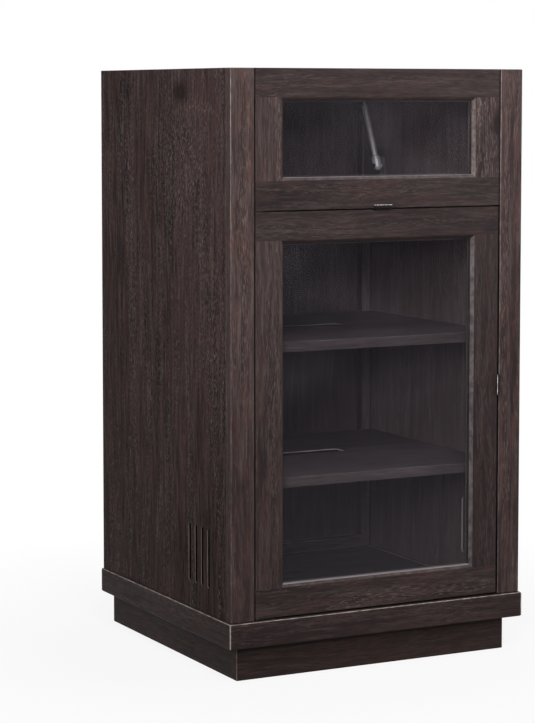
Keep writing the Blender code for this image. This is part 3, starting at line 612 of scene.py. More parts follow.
@dataclass(frozen=True)
class MetalFinish:
    """Plated or drawn metal, with fine lines along its length and, where asked, a painted highlight along
    one side.
    """

    name: str
    slot: str
    colour: Colour
    dull: Colour
    roughness: float
    lines: Noise
    metallic: float = 1.0
    # Painted highlight along one side: its tone and its width.
    bright: Colour = (0.9, 0.88, 0.86)
    highlight_width: float = 0.0011
    cut: Triple = (0.3, 0.7, 0.1)
    line_levels: Span = (0.3, 0.7)
    rough_play: Span = (-0.06, 0.08)
    smears: Noise = Noise((70.0, 70.0, 40.0), octaves=4.0)
    smear_levels: Span = (0.40, 0.75)
    smear_share: float = 0.6
    smear_rough_levels: Span = (0.5, 0.8)
    smear_rough: float = 0.15
    # Noise that breaks the painted highlight into dashes, and the shares at its levels.
    highlight_breaks: Noise = Noise((400.0, 400.0, 400.0), rough=0.5)
    break_levels: Span = (0.40, 0.60)
    highlight_shares: Span = (0.25, 0.90)
    relief: float = 0.0001
    relief_share: float = 0.35

    def draw(self, sheet: Shading, tip: Socket | None = None) -> Material:
        """Draws the metal.

        Args:
            sheet: Material to draw it in.
            tip: Where the painted highlight goes, if anywhere.

        Returns:
            The material.
        """
        place = sheet.place(self.cut)
        drawn = sheet.noise(place, self.lines)
        smears = sheet.noise(place, self.smears)
        dulled = sheet.remap(smears, self.smear_levels, (0.0, self.smear_share))
        colour = sheet.mix(dulled, self.colour, self.dull)
        if tip:
            # Painted highlight along the chosen side, broken into dashes.
            rub = sheet.remap(sheet.noise(place, self.highlight_breaks), self.break_levels, self.highlight_shares)
            colour = sheet.mix(sheet.math("MULTIPLY", tip, rub), colour, self.bright)
        rough = tuple(self.roughness + play for play in self.rough_play)
        lined = sheet.remap(drawn, self.line_levels, rough)
        smeared = sheet.remap(smears, self.smear_rough_levels, (0.0, self.smear_rough))
        return sheet.surface({
            "Base Color": colour,
            "Metallic": self.metallic,
            "Roughness": sheet.math("ADD", lined, smeared),
            "Normal": sheet.bump(drawn, self.relief, self.relief_share),
        })

    def material(self) -> Material:
        """Gives the material, made on its first use."""
        return bpy.data.materials.get(self.name) or self.draw(Shading(self.name))

    def worn_and_highlit(self, node: str, side: Side) -> Material:
        """Makes the material of a piece with a painted highlight along one side."""
        sheet = BoxShading(f"{self.name}_{node}", node)
        return self.draw(sheet, sheet.tip(side, self.highlight_width))


@dataclass(frozen=True)
class GlassFinish:
    """Grey tinted sheet glass with a faint haze of dust and wiping marks."""

    name: str
    tint: Colour
    dust: Colour
    sheen: Colour
    cover: float
    gloss: float
    film: float = 0.05
    roughness: Span = (0.02, 0.10)
    settled: Span = (0.10, 0.65)
    settled_share: float = 0.7
    cut: Triple = (0.2, 0.4, 0.6)
    haze: Noise = Noise((5.0, 5.0, 7.0), octaves=3.0)
    haze_levels: Span = (0.35, 0.75)
    wipes: Noise = Noise((18.0, 18.0, 160.0))
    wipe_levels: Span = (0.3, 0.7)
    wipe_least: float = 0.5

    def material(self) -> Material:
        """Makes the glass, with its dust thickest low down.

        Returns:
            The material.
        """
        sheet = Shading(self.name)
        coords = sheet.add("ShaderNodeTexCoord").outputs["Object"]
        level = sheet.add("ShaderNodeSeparateXYZ", {0: coords}).outputs[2]
        place = sheet.place(self.cut)
        haze = sheet.remap(sheet.noise(place, self.haze), self.haze_levels)
        wipes = sheet.remap(sheet.noise(place, self.wipes), self.wipe_levels, (self.wipe_least, 1.0))
        settled = sheet.remap(level, self.settled, (self.settled_share, 0.0))
        veil = sheet.math("MAXIMUM", sheet.math("MULTIPLY", haze, wipes), settled)
        return sheet.surface({
            "Base Color": sheet.mix(veil, self.tint, self.dust),
            "Roughness": sheet.remap(veil, (0.0, 1.0), self.roughness),
            "Specular IOR Level": self.gloss,
            "Specular Tint": self.sheen,
            "Alpha": sheet.remap(veil, (0.0, 1.0), (self.cover, self.cover + self.film)),
        })


@dataclass(frozen=True)
class PlasticFinish:
    """Moulded plastic or rubber with a fine stipple."""

    name: str
    slot: str
    colour: Colour
    roughness: float
    rough_play: Span = (-0.08, 0.10)
    rough_levels: Span = (0.3, 0.7)
    cut: Triple = (0.1, 0.2, 0.3)
    stipple: Noise = Noise((1400.0, 1400.0, 1400.0), octaves=1.0, rough=0.5)
    scuffs: Noise = Noise((90.0, 90.0, 90.0), octaves=3.0)
    scuff_levels: Span = (0.5, 0.8)
    scuff_share: float = 0.5
    scuff_gain: float = 1.8
    scuff_lift: float = 0.02
    relief: float = 0.0001
    relief_share: float = 0.4

    def material(self) -> Material:
        """Gives the material, made on its first use."""
        return bpy.data.materials.get(self.name) or self.draw(Shading(self.name))

    def draw(self, sheet: Shading) -> Material:
        """Draws the plastic, with paler scuffs.

        Args:
            sheet: Material to draw it in.

        Returns:
            The material.
        """
        place = sheet.place(self.cut)
        stipple = sheet.noise(place, self.stipple)
        scuffs = sheet.noise(place, self.scuffs)
        pale = tuple(min(1.0, level * self.scuff_gain + self.scuff_lift) for level in self.colour)
        scuffed = sheet.remap(scuffs, self.scuff_levels, (0.0, self.scuff_share))
        rough = tuple(self.roughness + play for play in self.rough_play)
        return sheet.surface({
            "Base Color": sheet.mix(scuffed, self.colour, pale),
            "Roughness": sheet.remap(scuffs, self.rough_levels, rough),
            "Normal": sheet.bump(stipple, self.relief, self.relief_share),
        })


# Each timber's pale edge tone is partly rubbing marks and partly painted highlight; the batten's is painted
# shade and the strut board's painted light.
SIDE_TIMBER = TimberFinish(
    "side_timber",
    dark=srgb(27, 19, 19), body=srgb(60, 46, 45), light=srgb(92, 75, 73), warm=srgb(73, 50, 47),
    pale=srgb(134, 125, 122), worn_and_shading_tone=srgb(150, 140, 136), flecks=0.52, broad=1.15, short=2.2, gloss=0.03,
)
# Painted highlight, partly rubbing marks: the posts' near-white edge lines.
POST_TIMBER = TimberFinish(
    "post_timber",
    dark=srgb(40, 31, 31), body=srgb(65, 53, 52), light=srgb(87, 73, 70), warm=srgb(78, 56, 52),
    pale=srgb(118, 103, 98), worn_and_shading_tone=srgb(200, 188, 182), flecks=0.45, wear_and_shade=0.42, line=0.0014,
)
STILE_TIMBER = TimberFinish(
    "stile_timber",
    dark=srgb(36, 29, 29), body=srgb(57, 47, 46), light=srgb(80, 68, 66), warm=srgb(69, 50, 46),
    pale=srgb(116, 102, 98), worn_and_shading_tone=srgb(150, 139, 136), flecks=0.5,
)
RAIL_TIMBER = TimberFinish(
    "rail_timber",
    dark=srgb(32, 26, 26), body=srgb(49, 40, 40), light=srgb(66, 56, 55), warm=srgb(58, 43, 41),
    pale=srgb(93, 82, 80), worn_and_shading_tone=srgb(168, 160, 162), flecks=0.35,
)
# Weaker painted highlight along the top of the lid's bottom rail.
LID_RAIL_TIMBER = replace(RAIL_TIMBER, name="lid_rail_timber", lip_share=0.2)
FLECKED_TIMBER = replace(
    RAIL_TIMBER, name="flecked_timber", dark=srgb(26, 20, 20), pale=srgb(130, 116, 111),
    worn_and_shading_tone=STILE_TIMBER.worn_and_shading_tone, flecks=0.46,
)
FOOT_RAIL_TIMBER = replace(STILE_TIMBER, name="foot_rail_timber", worn_and_shading_tone=RAIL_TIMBER.worn_and_shading_tone)
# Painted highlight, partly rubbing marks: the moulding's near-white edge lines.
BASE_TIMBER = TimberFinish(
    "base_timber",
    dark=srgb(37, 29, 29), body=srgb(54, 43, 43), light=srgb(73, 60, 59), warm=srgb(64, 46, 43),
    pale=srgb(104, 91, 88), worn_and_shading_tone=srgb(205, 194, 188), flecks=0.4, line=0.0018,
)
PLINTH_TIMBER = TimberFinish(
    "plinth_timber",
    dark=srgb(33, 26, 25), body=srgb(48, 38, 37), light=srgb(63, 51, 49), warm=srgb(58, 41, 37),
    pale=srgb(82, 68, 65), worn_and_shading_tone=srgb(150, 130, 122), flecks=0.25, wear_and_shade=0.7, line=0.0014,
)
INNER_TIMBER = TimberFinish(
    "inner_timber",
    dark=srgb(49, 42, 45), body=srgb(61, 53, 56), light=srgb(74, 66, 69), warm=srgb(65, 53, 54),
    pale=srgb(100, 92, 93), worn_and_shading_tone=srgb(135, 128, 131), flecks=0.22,
)
# Painted shade: a dark strip along each batten's outer side and a near-black inner face stand for the shade
# beside it.
BATTEN_TIMBER = replace(
    INNER_TIMBER, name="batten_timber",
    dark=srgb(60, 52, 55), body=srgb(76, 68, 71), light=srgb(92, 84, 87), worn_and_shading_tone=srgb(26, 22, 23),
    lip_line=0.0045, lip_share=0.8,
)
# Painted light: a paler tone covers the front 42 mm of each strut board, where light from the glass falls.
STRUT_BOARD_TIMBER = replace(
    INNER_TIMBER, name="strut_board_timber",
    dark=srgb(35, 30, 31), body=srgb(44, 38, 40), light=srgb(54, 48, 50), warm=srgb(46, 39, 40),
    pale=srgb(70, 64, 65), worn_and_shading_tone=srgb(68, 62, 62), lip_line=0.042, lip_share=0.9,
)
SHELF_TIMBER = replace(
    INNER_TIMBER, name="shelf_timber",
    dark=srgb(42, 36, 38), body=srgb(60, 53, 55), light=srgb(84, 76, 79), flecks=0.35,
)
# Painted highlight, partly rubbing marks: near-white lines along the floor's and floor batten's edges.
BOTTOM_TIMBER = replace(SHELF_TIMBER, name="bottom_timber", worn_and_shading_tone=srgb(215, 208, 212), line=0.0030)
ALONG_STRUT = Noise((900.0, 900.0, 60.0))
ALONG_PLATE = Noise((60.0, 900.0, 900.0))
ALONG_PULL = Noise((80.0, 1100.0, 1100.0))
STRUT_STEEL = MetalFinish(
    "strut_steel", "steel", (0.95, 0.92, 0.98), (0.74, 0.71, 0.78), 0.50, ALONG_STRUT, metallic=0.85
)
PLATE_STEEL = MetalFinish("plate_steel", "steel", (0.42, 0.42, 0.43), (0.28, 0.28, 0.29), 0.36, ALONG_PLATE)
HINGE_STEEL = MetalFinish(
    "hinge_steel", "steel", (0.150, 0.145, 0.140), (0.090, 0.088, 0.085), 0.42, ALONG_PLATE
)
PULL_NICKEL = MetalFinish(
    "pull_nickel", "nickel", (0.020, 0.017, 0.016), (0.012, 0.010, 0.010), 0.34, ALONG_PULL
)
PIVOT_STEEL = MetalFinish(
    "pivot_steel", "steel", (0.030, 0.028, 0.028), (0.018, 0.017, 0.017), 0.45, ALONG_PLATE
)
GREY_GLASS = GlassFinish(
    "grey_glass", (0.034, 0.027, 0.036), (0.12, 0.105, 0.125), (1.0, 0.94, 1.0), cover=0.08, gloss=0.35
)
CATCH_PLASTIC = PlasticFinish("catch_plastic", "plastic", srgb(40, 38, 38), 0.5)
BEAD_RUBBER = PlasticFinish("bead_rubber", "plastic", srgb(30, 29, 29), 0.62)
CAP_PLASTIC = PlasticFinish("cap_plastic", "plastic", srgb(26, 24, 26), 0.4)
STOP_RUBBER = PlasticFinish("stop_rubber", "plastic", srgb(92, 90, 88), 0.45)


def dress(node: str, material: Material) -> None:
    """Gives a solid of the frame its finished material.

    Args:
        node: Name of the solid.
        material: Finish that it takes.
    """
    solid = frame["nodes"][node]
    if not solid.material_slots:
        solid.data.materials.append(material)
    for place in solid.material_slots:
        place.material = material
    LOG.info("dressed %s with %s", node, material.name)


def settle(piece: Piece, body: str, slot: str, *nodes: str) -> None:
    """Lets a finished piece ride on a body, in place of the nodes that it stands for.

    Args:
        piece: Finished object.
        body: Body that carries it.
        slot: Not used.
        nodes: Solids that it takes the place of.
    """
    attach(piece, body)
    if nodes:
        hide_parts(*nodes)
    LOG.info("made %s on %s, %d faces", piece.name, body, len(piece.data.polygons))


def link(name: str, data: bpy.types.ID) -> Piece:
    """Makes an object and puts it in the scene.

    Args:
        name: Name of the object.
        data: Mesh, lamp or camera that it holds.

    Returns:
        The object, at the origin.
    """
    thing = bpy.data.objects.new(name, data)
    bpy.context.scene.collection.objects.link(thing)
    return thing


def turns(count: int, sweep: float = 2 * math.pi) -> list[float]:
    """Parts a sweep into equal steps and gives their angles, without the sweep's end."""
    return [sweep * step / count for step in range(count)]


def skin(rings: Iterable[Iterable[Sequence[float]]], smooth: bool) -> bmesh.types.BMesh:
    """Skins rings of points into a closed solid with flat ends.

    Args:
        rings: Points of each ring, all in the same order round it.
        smooth: Whether the skin is shaded smooth.

    Returns:
        The drawn mesh.
    """
    shape = bmesh.new()
    rows = [[shape.verts.new(point) for point in ring] for ring in rings]
    for first, second in zip(rows, rows[1:]):
        for here in range(len(first)):
            after = (here + 1) % len(first)
            shape.faces.new((first[here], first[after], second[after], second[here])).smooth = smooth
    for row in (rows[0], rows[-1]):
        shape.faces.new(row)
    return shape


def mesh_object(name: str, shape: bmesh.types.BMesh, material: Material) -> Piece:
    """Turns a drawn shape into an object at the origin.

    Args:
        name: Name of the object.
        shape: Drawn mesh, which is freed.
        material: Its one material.

    Returns:
        The object, with its faces outward.
    """
    bmesh.ops.remove_doubles(shape, verts=shape.verts, dist=SAME_POINT)
    bmesh.ops.recalc_face_normals(shape, faces=shape.faces)
    if shape.calc_volume(signed=True) < 0:
        bmesh.ops.reverse_faces(shape, faces=shape.faces)
    mesh = bpy.data.meshes.new(name)
    shape.to_mesh(mesh)
    shape.free()
    mesh.materials.append(material)
    return link(name, mesh)


class Recipe(Drawing):
    """A Geometry Nodes tree with named sizes, which ends in plain geometry with one material."""

    def __init__(self, name: str) -> None:
        """Makes the empty tree with its way in and its way out.

        Args:
            name: Name of the tree.
        """
        super().__init__(bpy.data.node_groups.new(name, "GeometryNodeTree"))
        self.tree.interface.new_socket("Geometry", in_out="INPUT", socket_type="NodeSocketGeometry")
        self.tree.interface.new_socket("Geometry", in_out="OUTPUT", socket_type="NodeSocketGeometry")
        self.start = self.tree.nodes.new("NodeGroupInput")
        self.end = self.tree.nodes.new("NodeGroupOutput")

    def size(self, name: str, kind: str = "NodeSocketFloat") -> Socket:
        """Adds a named input and gives back its socket in the tree."""
        self.tree.interface.new_socket(name, in_out="INPUT", socket_type=kind)
        return self.start.outputs[name]

    def close(self, geometry: Socket, material: Socket) -> None:
        """Ends the tree: instances are made real and take the material.

        Args:
            geometry: What the tree has made.
            material: Socket of the material.
        """
        real = self.out("GeometryNodeRealizeInstances", {0: geometry})
        painted = self.out("GeometryNodeSetMaterial", {"Geometry": real, "Material": material})
        self.feed(self.end.inputs[0], painted)

    def attribute(self, name: str, kind: str) -> Socket:
        """Reads a named value off the points."""
        return self.out("GeometryNodeInputNamedAttribute", {"Name": name}, data_type=kind)

    def run(self, name: str, seed: bpy.types.Mesh, values: dict) -> Piece:
        """Runs the tree on a mesh and keeps the result as a plain mesh at the origin.

        Args:
            name: Name of the new piece.
            seed: Mesh that the tree starts from.
            values: Value of each named input.

        Returns:
            The finished piece, with no modifier left on it.
        """
        worker = link(f"{name}_points", seed)
        step = worker.modifiers.new(self.tree.name, "NODES")
        step.node_group = self.tree
        for item in self.tree.interface.items_tree:
            if item.in_out == "INPUT" and item.name in values:
                step[item.identifier] = values[item.name]
        worker.update_tag()
        graph = bpy.context.evaluated_depsgraph_get()
        mesh = bpy.data.meshes.new_from_object(worker.evaluated_get(graph), depsgraph=graph)
        worker.modifiers.remove(step)
        bpy.data.objects.remove(worker)
        mesh.name = name
        return link(name, mesh)


class Facing(Enum):
    """Way that a fastener's head looks."""

    LEFT = (-1.0, 0.0, 0.0)
    RIGHT = (1.0, 0.0, 0.0)
    FRONT = (0.0, -1.0, 0.0)
    BACK = (0.0, 1.0, 0.0)
    DOWN = (0.0, 0.0, -1.0)
    UP = (0.0, 0.0, 1.0)

    @staticmethod
    def inward(hand: int) -> "Facing":
        """Gives the way from a side wall to the middle of the cabinet."""
        return Facing.LEFT if hand > 0 else Facing.RIGHT


class Head(Enum):
    """Form of a fastener's head, as its radius and the height that it stands proud, in metres."""

    PAN = (0.0036, 0.0013)
    SMALL = (0.0026, 0.0006)
    FLUSH = (0.0025, 0.00012)
    PLATE = (0.0024, 0.0002)
    STOP = (0.0034, 0.0017)


@dataclass
class Fasteners:
    """Cross-slotted screws, or plain domed stops, set on points by one tree."""

    recessed: bool
    sides: int = 20
    skirt: float = 0.6
    shoulder: float = 0.86
    crown: float = 0.5
    slot_width: float = 0.24
    slot_depth: float = 0.7
    slot_length: float = 1.1
    seed: int = 7
    tree: Recipe = field(init=False)
    points: dict[str, list[tuple[Vector, Facing, Head]]] = field(default_factory=dict)

    def __post_init__(self) -> None:
        """Draws the tree: a head of one by one, scaled, turned to its face and spun at random."""
        self.tree = Recipe("screw_heads" if self.recessed else "rubber_stops")
        tree = self.tree
        shoulder, slot_wide, slot_deep = map(tree.size, ("Top share", "Slot width", "Slot depth"))
        seed = tree.size("Seed", "NodeSocketInt")
        material = tree.size("Material", "NodeSocketMaterial")
        rings = ((1.0, shoulder, self.skirt), (shoulder, self.crown, 1.0 - self.skirt))
        skirt, crown = (
            tree.out("GeometryNodeMeshCone", {
                "Vertices": self.sides, "Radius Top": top, "Radius Bottom": bottom, "Depth": depth
            })
            for bottom, top, depth in rings
        )
        crown = tree.out("GeometryNodeTransform", {"Geometry": crown, "Translation": (0, 0, self.skirt)})
        join = tree.add("GeometryNodeJoinGeometry")
        tree.feed(join.inputs[0], crown)
        tree.feed(join.inputs[0], skirt)
        head = tree.add("GeometryNodeMeshBoolean", {1: join.outputs[0]}, operation="UNION", solver="EXACT")
        tree.feed(head.inputs["Self Intersection"], True)
        head = head.outputs[0]
        if self.recessed:
            head = self.cut_cross(head, slot_wide, slot_deep)
        facing = tree.attribute("facing", "FLOAT_VECTOR")
        aim = tree.out("FunctionNodeAlignRotationToVector", {"Vector": facing}, axis="Z")
        spin = tree.add("FunctionNodeRandomValue", {2: 0.0, 3: math.pi, "Seed": seed}).outputs[1]
        spin = tree.out("FunctionNodeAxisAngleToRotation", {"Axis": (0, 0, 1), "Angle": spin})
        turn = tree.out("FunctionNodeRotateRotation", {0: aim, 1: spin}, rotation_space="LOCAL")
        heads = tree.out("GeometryNodeInstanceOnPoints", {
            "Points": tree.start.outputs["Geometry"], "Instance": head, "Rotation": turn,
            "Scale": tree.attribute("head_size", "FLOAT_VECTOR"),
        })
        tree.close(heads, material)

    def cut_cross(self, head: Socket, wide: Socket, deep: Socket) -> Socket:
        """Cuts a cross slot into the top of the head.

        Args:
            head: Head to cut.
            wide: Width of the slot, as a share of the radius.
            deep: Depth of the slot, as a share of the height.

        Returns:
            The slotted head.
        """
        tree = self.tree
        twice = tree.math("MULTIPLY", deep, 2.0)
        cut = tree.add("GeometryNodeMeshBoolean", {0: head}, operation="DIFFERENCE", solver="EXACT")
        cross = tree.add("GeometryNodeMeshBoolean", operation="UNION", solver="EXACT")
        for x, y in ((self.slot_length, wide), (wide, self.slot_length)):
            size = tree.out("ShaderNodeCombineXYZ", {0: x, 1: y, 2: twice})
            bar = tree.out("GeometryNodeMeshCube", {"Size": size})
            tree.feed(cross.inputs[1], bar)
        place = {0: cross.outputs[0], "Translation": (0, 0, 1.0)}
        tree.feed(cut.inputs[1], tree.out("GeometryNodeTransform", place))
        return cut.outputs[0]

    def put(self, body: str, places: Iterable[Sequence[float]], facing: Facing, head: Head) -> None:
        """Notes where heads stand on a body's face, the way that they look, and their form."""
        row = self.points.setdefault(body, [])
        row.extend((Vector(place), facing, head) for place in places)

    def build(self, label: str, finish: MetalFinish | PlasticFinish) -> None:
        """Makes one mesh of heads for each body.

        Args:
            label: End of the pieces' names.
            finish: What they are made of.
        """
        values = {
            "Top share": self.shoulder, "Slot width": self.slot_width, "Slot depth": self.slot_depth,
            "Seed": self.seed, "Material": finish.material(),
        }
        for body, row in self.points.items():
            seed = bpy.data.meshes.new(f"{body}_{label}_seed")
            seed.from_pydata([place for place, _, _ in row], [], [])
            facing = seed.attributes.new("facing", "FLOAT_VECTOR", "POINT")
            size = seed.attributes.new("head_size", "FLOAT_VECTOR", "POINT")
            for index, (_, way, head) in enumerate(row):
                radius, height = head.value
                facing.data[index].vector = way.value
                size.data[index].vector = (radius, radius, height)
            settle(self.tree.run(f"{body}_{label}", seed, values), body, finish.slot)


@dataclass
class GlazingBead:
    """Round rubber bead that lies in the corner between each pane and its frame, by one tree."""

    radius: float = 0.0012
    clear: float = 0.0002
    sides: int = 12
    tree: Recipe = field(init=False)

    def __post_init__(self) -> None:
        """Draws the tree: a rectangle swept by a circle."""
        self.tree = Recipe("glazing_bead")
        tree = self.tree
        wide, high, radius = map(tree.size, ("Width", "Height", "Bead radius"))
        middle = tree.size("Middle", "NodeSocketVector")
        material = tree.size("Material", "NodeSocketMaterial")
        path = tree.out("GeometryNodeCurvePrimitiveQuadrilateral", {"Width": wide, "Height": high})
        section = tree.out("GeometryNodeCurvePrimitiveCircle", {"Resolution": self.sides, "Radius": radius})
        bead = tree.out("GeometryNodeCurveToMesh", {"Curve": path, "Profile Curve": section})
        smooth = tree.out("GeometryNodeSetShadeSmooth", {0: bead})
        placed = tree.out("GeometryNodeTransform", {
            "Geometry": smooth, "Translation": middle, "Rotation": (math.pi / 2, 0, 0)
        })
        tree.close(placed, material)

    def build(self, body: str) -> None:
        """Beads one pane in.

        Args:
            body: Body that carries the pane, which its pieces are named for.
        """
        pane_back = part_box(f"{body}_glass")[1].y
        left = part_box(f"{body}_left_stile")[1].x
        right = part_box(f"{body}_right_stile")[0].x
        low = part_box(f"{body}_bottom_rail")[1].z
        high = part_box(f"{body}_top_rail")[0].z
        inset = self.radius + self.clear
        middle = ((left + right) / 2, pane_back + inset, (low + high) / 2)
        values = {
            "Width": right - left - 2 * inset, "Height": high - low - 2 * inset,
            "Bead radius": self.radius, "Middle": middle, "Material": BEAD_RUBBER.material(),
        }
        piece = self.tree.run(f"{body}_glazing_bead", bpy.data.meshes.new("bead_seed"), values)
        settle(piece, body, BEAD_RUBBER.slot)


@dataclass
class Boards:
    """All the timber, each board with its grain along its length."""

    level_inside: tuple[str, ...] = ("divider_panel", "lower_shelf", "upper_shelf")
    edged_inside: tuple[str, ...] = ("bottom_panel", "rear_floor_batten")
    leaves: tuple[str, ...] = ("lid", "door")
    knot: Figure = Figure((-0.296, -0.0744, 1.0259), (0.02, 0.040, 0.026), dark=True)
    # Partly painted light: this patch of pale flecks also stands for light falling on the inner face of the
    # right wall.
    fleck: Figure = Figure((0.276, -0.110, 0.680), (0.02, 0.120, 0.120), dark=False)
    curl: Figure = Figure((-0.296, -0.1520, 0.9980), (0.02, 0.095, 0.018), dark=False)
    cloud: Figure = Figure((-0.296, -0.0700, 0.9000), (0.02, 0.150, 0.170), dark=False)
    stile_knot: Figure = Figure((0.2420, -0.2745, 0.9680), (0.020, 0.03, 0.034), dark=True)
    stile_fleck: Figure = Figure((0.2200, -0.2745, 0.9050), (0.022, 0.03, 0.045), dark=False)
    # Painted light on slot rims: the left vents' lit walls, light coming through the right vents from
    # outside, and a highlight on the lower shelf's cable slot.
    left_vent_light: Colour = srgb(124, 112, 110)
    right_vent_light: Colour = srgb(132, 130, 127)
    right_vent_lip: float = 0.0055
    lower_slot_light: Colour = srgb(225, 218, 224)
    count: int = 0

    def lay(self, finish: TimberFinish, grain: Grain, nodes: Iterable[str], wear_and_shade: WearAndShade = WearAndShade()) -> None:
        """Dresses boards in one finish.

        Args:
            finish: Timber that they are cut from.
            grain: Way their grain runs.
            nodes: Their solids.
            wear_and_shade: How their edges are made pale, where they take painted shade and painted light,
                and how they are cut.
        """
        for node in nodes:
            dress(node, finish.board(node, grain, self.count, wear_and_shade))
            self.count += 1

    def lay_carcass(self) -> None:
        """Dresses the side panels, the posts and the boards inside."""
        for hand, out, back in (("left", Side.LEFT, Side.RIGHT), ("right", Side.RIGHT, Side.LEFT)):
            # The side panels' vents take painted shade on their walls and painted light on their rims.
            wear_and_shade = WearAndShade(eased=0.1, lined=back, slots=out | back)
            edges = Side.FRONT | Side.LEFT
            if hand == "left":
                figures = (self.cloud, self.curl, self.knot)
                wear_and_shade = replace(wear_and_shade, slot_rim_light=self.left_vent_light, figures=figures)
            else:
                edges |= Side.RIGHT
                lip, tone = self.right_vent_lip, self.right_vent_light
                wear_and_shade = replace(wear_and_shade, slot_lip=lip, slot_rim_light=tone, figures=(self.fleck,))
            self.lay(SIDE_TIMBER, Grain.ALONG_Z, [f"{hand}_side_panel"], wear_and_shade)
            # Painted highlight on the posts' edge lines, brightest near the top, and painted shade on their
            # faces by the gaps.
            wear_and_shade = WearAndShade(eased=0.05, edges=edges, fade_from=Side.TOP, shaded_sides=back)
            self.lay(POST_TIMBER, Grain.ALONG_Z, [f"{hand}_front_post"], wear_and_shade)
            # Painted shade beside each batten.
            self.lay(BATTEN_TIMBER, Grain.ALONG_Z, [f"{hand}_rear_batten"], WearAndShade(lip=out, shaded_sides=back))
            # Painted light on the front strip of each strut board.
            self.lay(STRUT_BOARD_TIMBER, Grain.ALONG_Z, [f"{hand}_strut_board"], WearAndShade(lip=Side.FRONT))
        # The back panel's hole takes painted shade on its walls and a painted highlight on its rim.
        self.lay(INNER_TIMBER, Grain.ALONG_Z, ["back_panel"], WearAndShade(slots=Side.FRONT | Side.BACK))
        self.lay(INNER_TIMBER, Grain.ALONG_X, ["rear_top_rail"])
        for node in self.level_inside:
            tone = self.lower_slot_light if node == "lower_shelf" else None
            # Painted highlight on the shelves' pale eased edges and slot rims, and painted shade on the slot
            # walls.
            wear_and_shade = WearAndShade(eased=0.3, slots=Side.BOTTOM | Side.TOP, slot_rim_light=tone)
            self.lay(SHELF_TIMBER, Grain.ALONG_X, [node], wear_and_shade)
        joint = Side.LEFT | Side.RIGHT | Side.BACK | Side.TOP
        # Painted highlight, partly rubbing marks, on the floor's and floor batten's edges.
        self.lay(BOTTOM_TIMBER, Grain.ALONG_X, self.edged_inside, WearAndShade(eased=0.3, edges=joint))

    def lay_leaves(self) -> None:
        """Dresses the lid's panel and the glazed frames of the lid and of the door."""
        self.lay(RAIL_TIMBER, Grain.ALONG_X, ["lid_panel"], WearAndShade(eased=0.3))
        # Painted shade: the frames' faces towards the gaps round each leaf are near black, and a dark strip
        # runs onto the front along the right-hand gap.
        for leaf in self.leaves:
            wear_and_shade = WearAndShade(eased=0.05, shaded_sides=Side.LEFT)
            self.lay(STILE_TIMBER, Grain.ALONG_Z, [f"{leaf}_left_stile"], wear_and_shade)
            # Painted shade: the door's right stile takes the darker rail timber, as it lies in shade.
            timber, wear_and_shade = RAIL_TIMBER, WearAndShade(eased=0.22, shaded_sides=Side.RIGHT, shaded_edge=Side.RIGHT)
            if leaf == "lid":
                figures = (self.stile_knot, self.stile_fleck)
                timber, wear_and_shade = FLECKED_TIMBER, replace(wear_and_shade, eased=0.3, figures=figures)
            self.lay(timber, Grain.ALONG_Z, [f"{leaf}_right_stile"], wear_and_shade)
            wear_and_shade = WearAndShade(shaded_sides=Side.TOP if leaf == "door" else Side.NONE, shaded_edge=Side.RIGHT)
            self.lay(RAIL_TIMBER, Grain.ALONG_X, [f"{leaf}_top_rail"], wear_and_shade)
            timber = LID_RAIL_TIMBER if leaf == "lid" else FOOT_RAIL_TIMBER
            # Painted highlight: a pale strip along the top of each bottom rail.
            wear_and_shade = WearAndShade(eased=0.15, lip=Side.TOP, shaded_sides=Side.BOTTOM, shaded_edge=Side.RIGHT)
            self.lay(timber, Grain.ALONG_X, [f"{leaf}_bottom_rail"], wear_and_shade)

    def lay_base(self) -> None:
        """Dresses the moulding and the plinth."""
        ends = Side.LEFT | Side.RIGHT
        self.lay(BASE_TIMBER, Grain.ALONG_X, ["moulding_front"], WearAndShade(edges=ends | Side.FRONT | Side.TOP))
        for hand, out in (("left", Side.LEFT), ("right", Side.RIGHT)):
            wear_and_shade = WearAndShade(edges=out | Side.FRONT | Side.TOP)
            self.lay(BASE_TIMBER, Grain.ALONG_Y, [f"moulding_{hand}"], wear_and_shade)
            self.lay(PLINTH_TIMBER, Grain.ALONG_Y, [f"plinth_{hand}"], WearAndShade(eased=0.2))
        wear_and_shade = WearAndShade(eased=0.2, edges=ends | Side.FRONT)
        self.lay(PLINTH_TIMBER, Grain.ALONG_X, ["plinth_front", "plinth_rear"], wear_and_shade)

    def build(self) -> None:
        """Dresses every board of the cabinet."""
        self.lay_carcass()
        self.lay_leaves()
        self.lay_base()


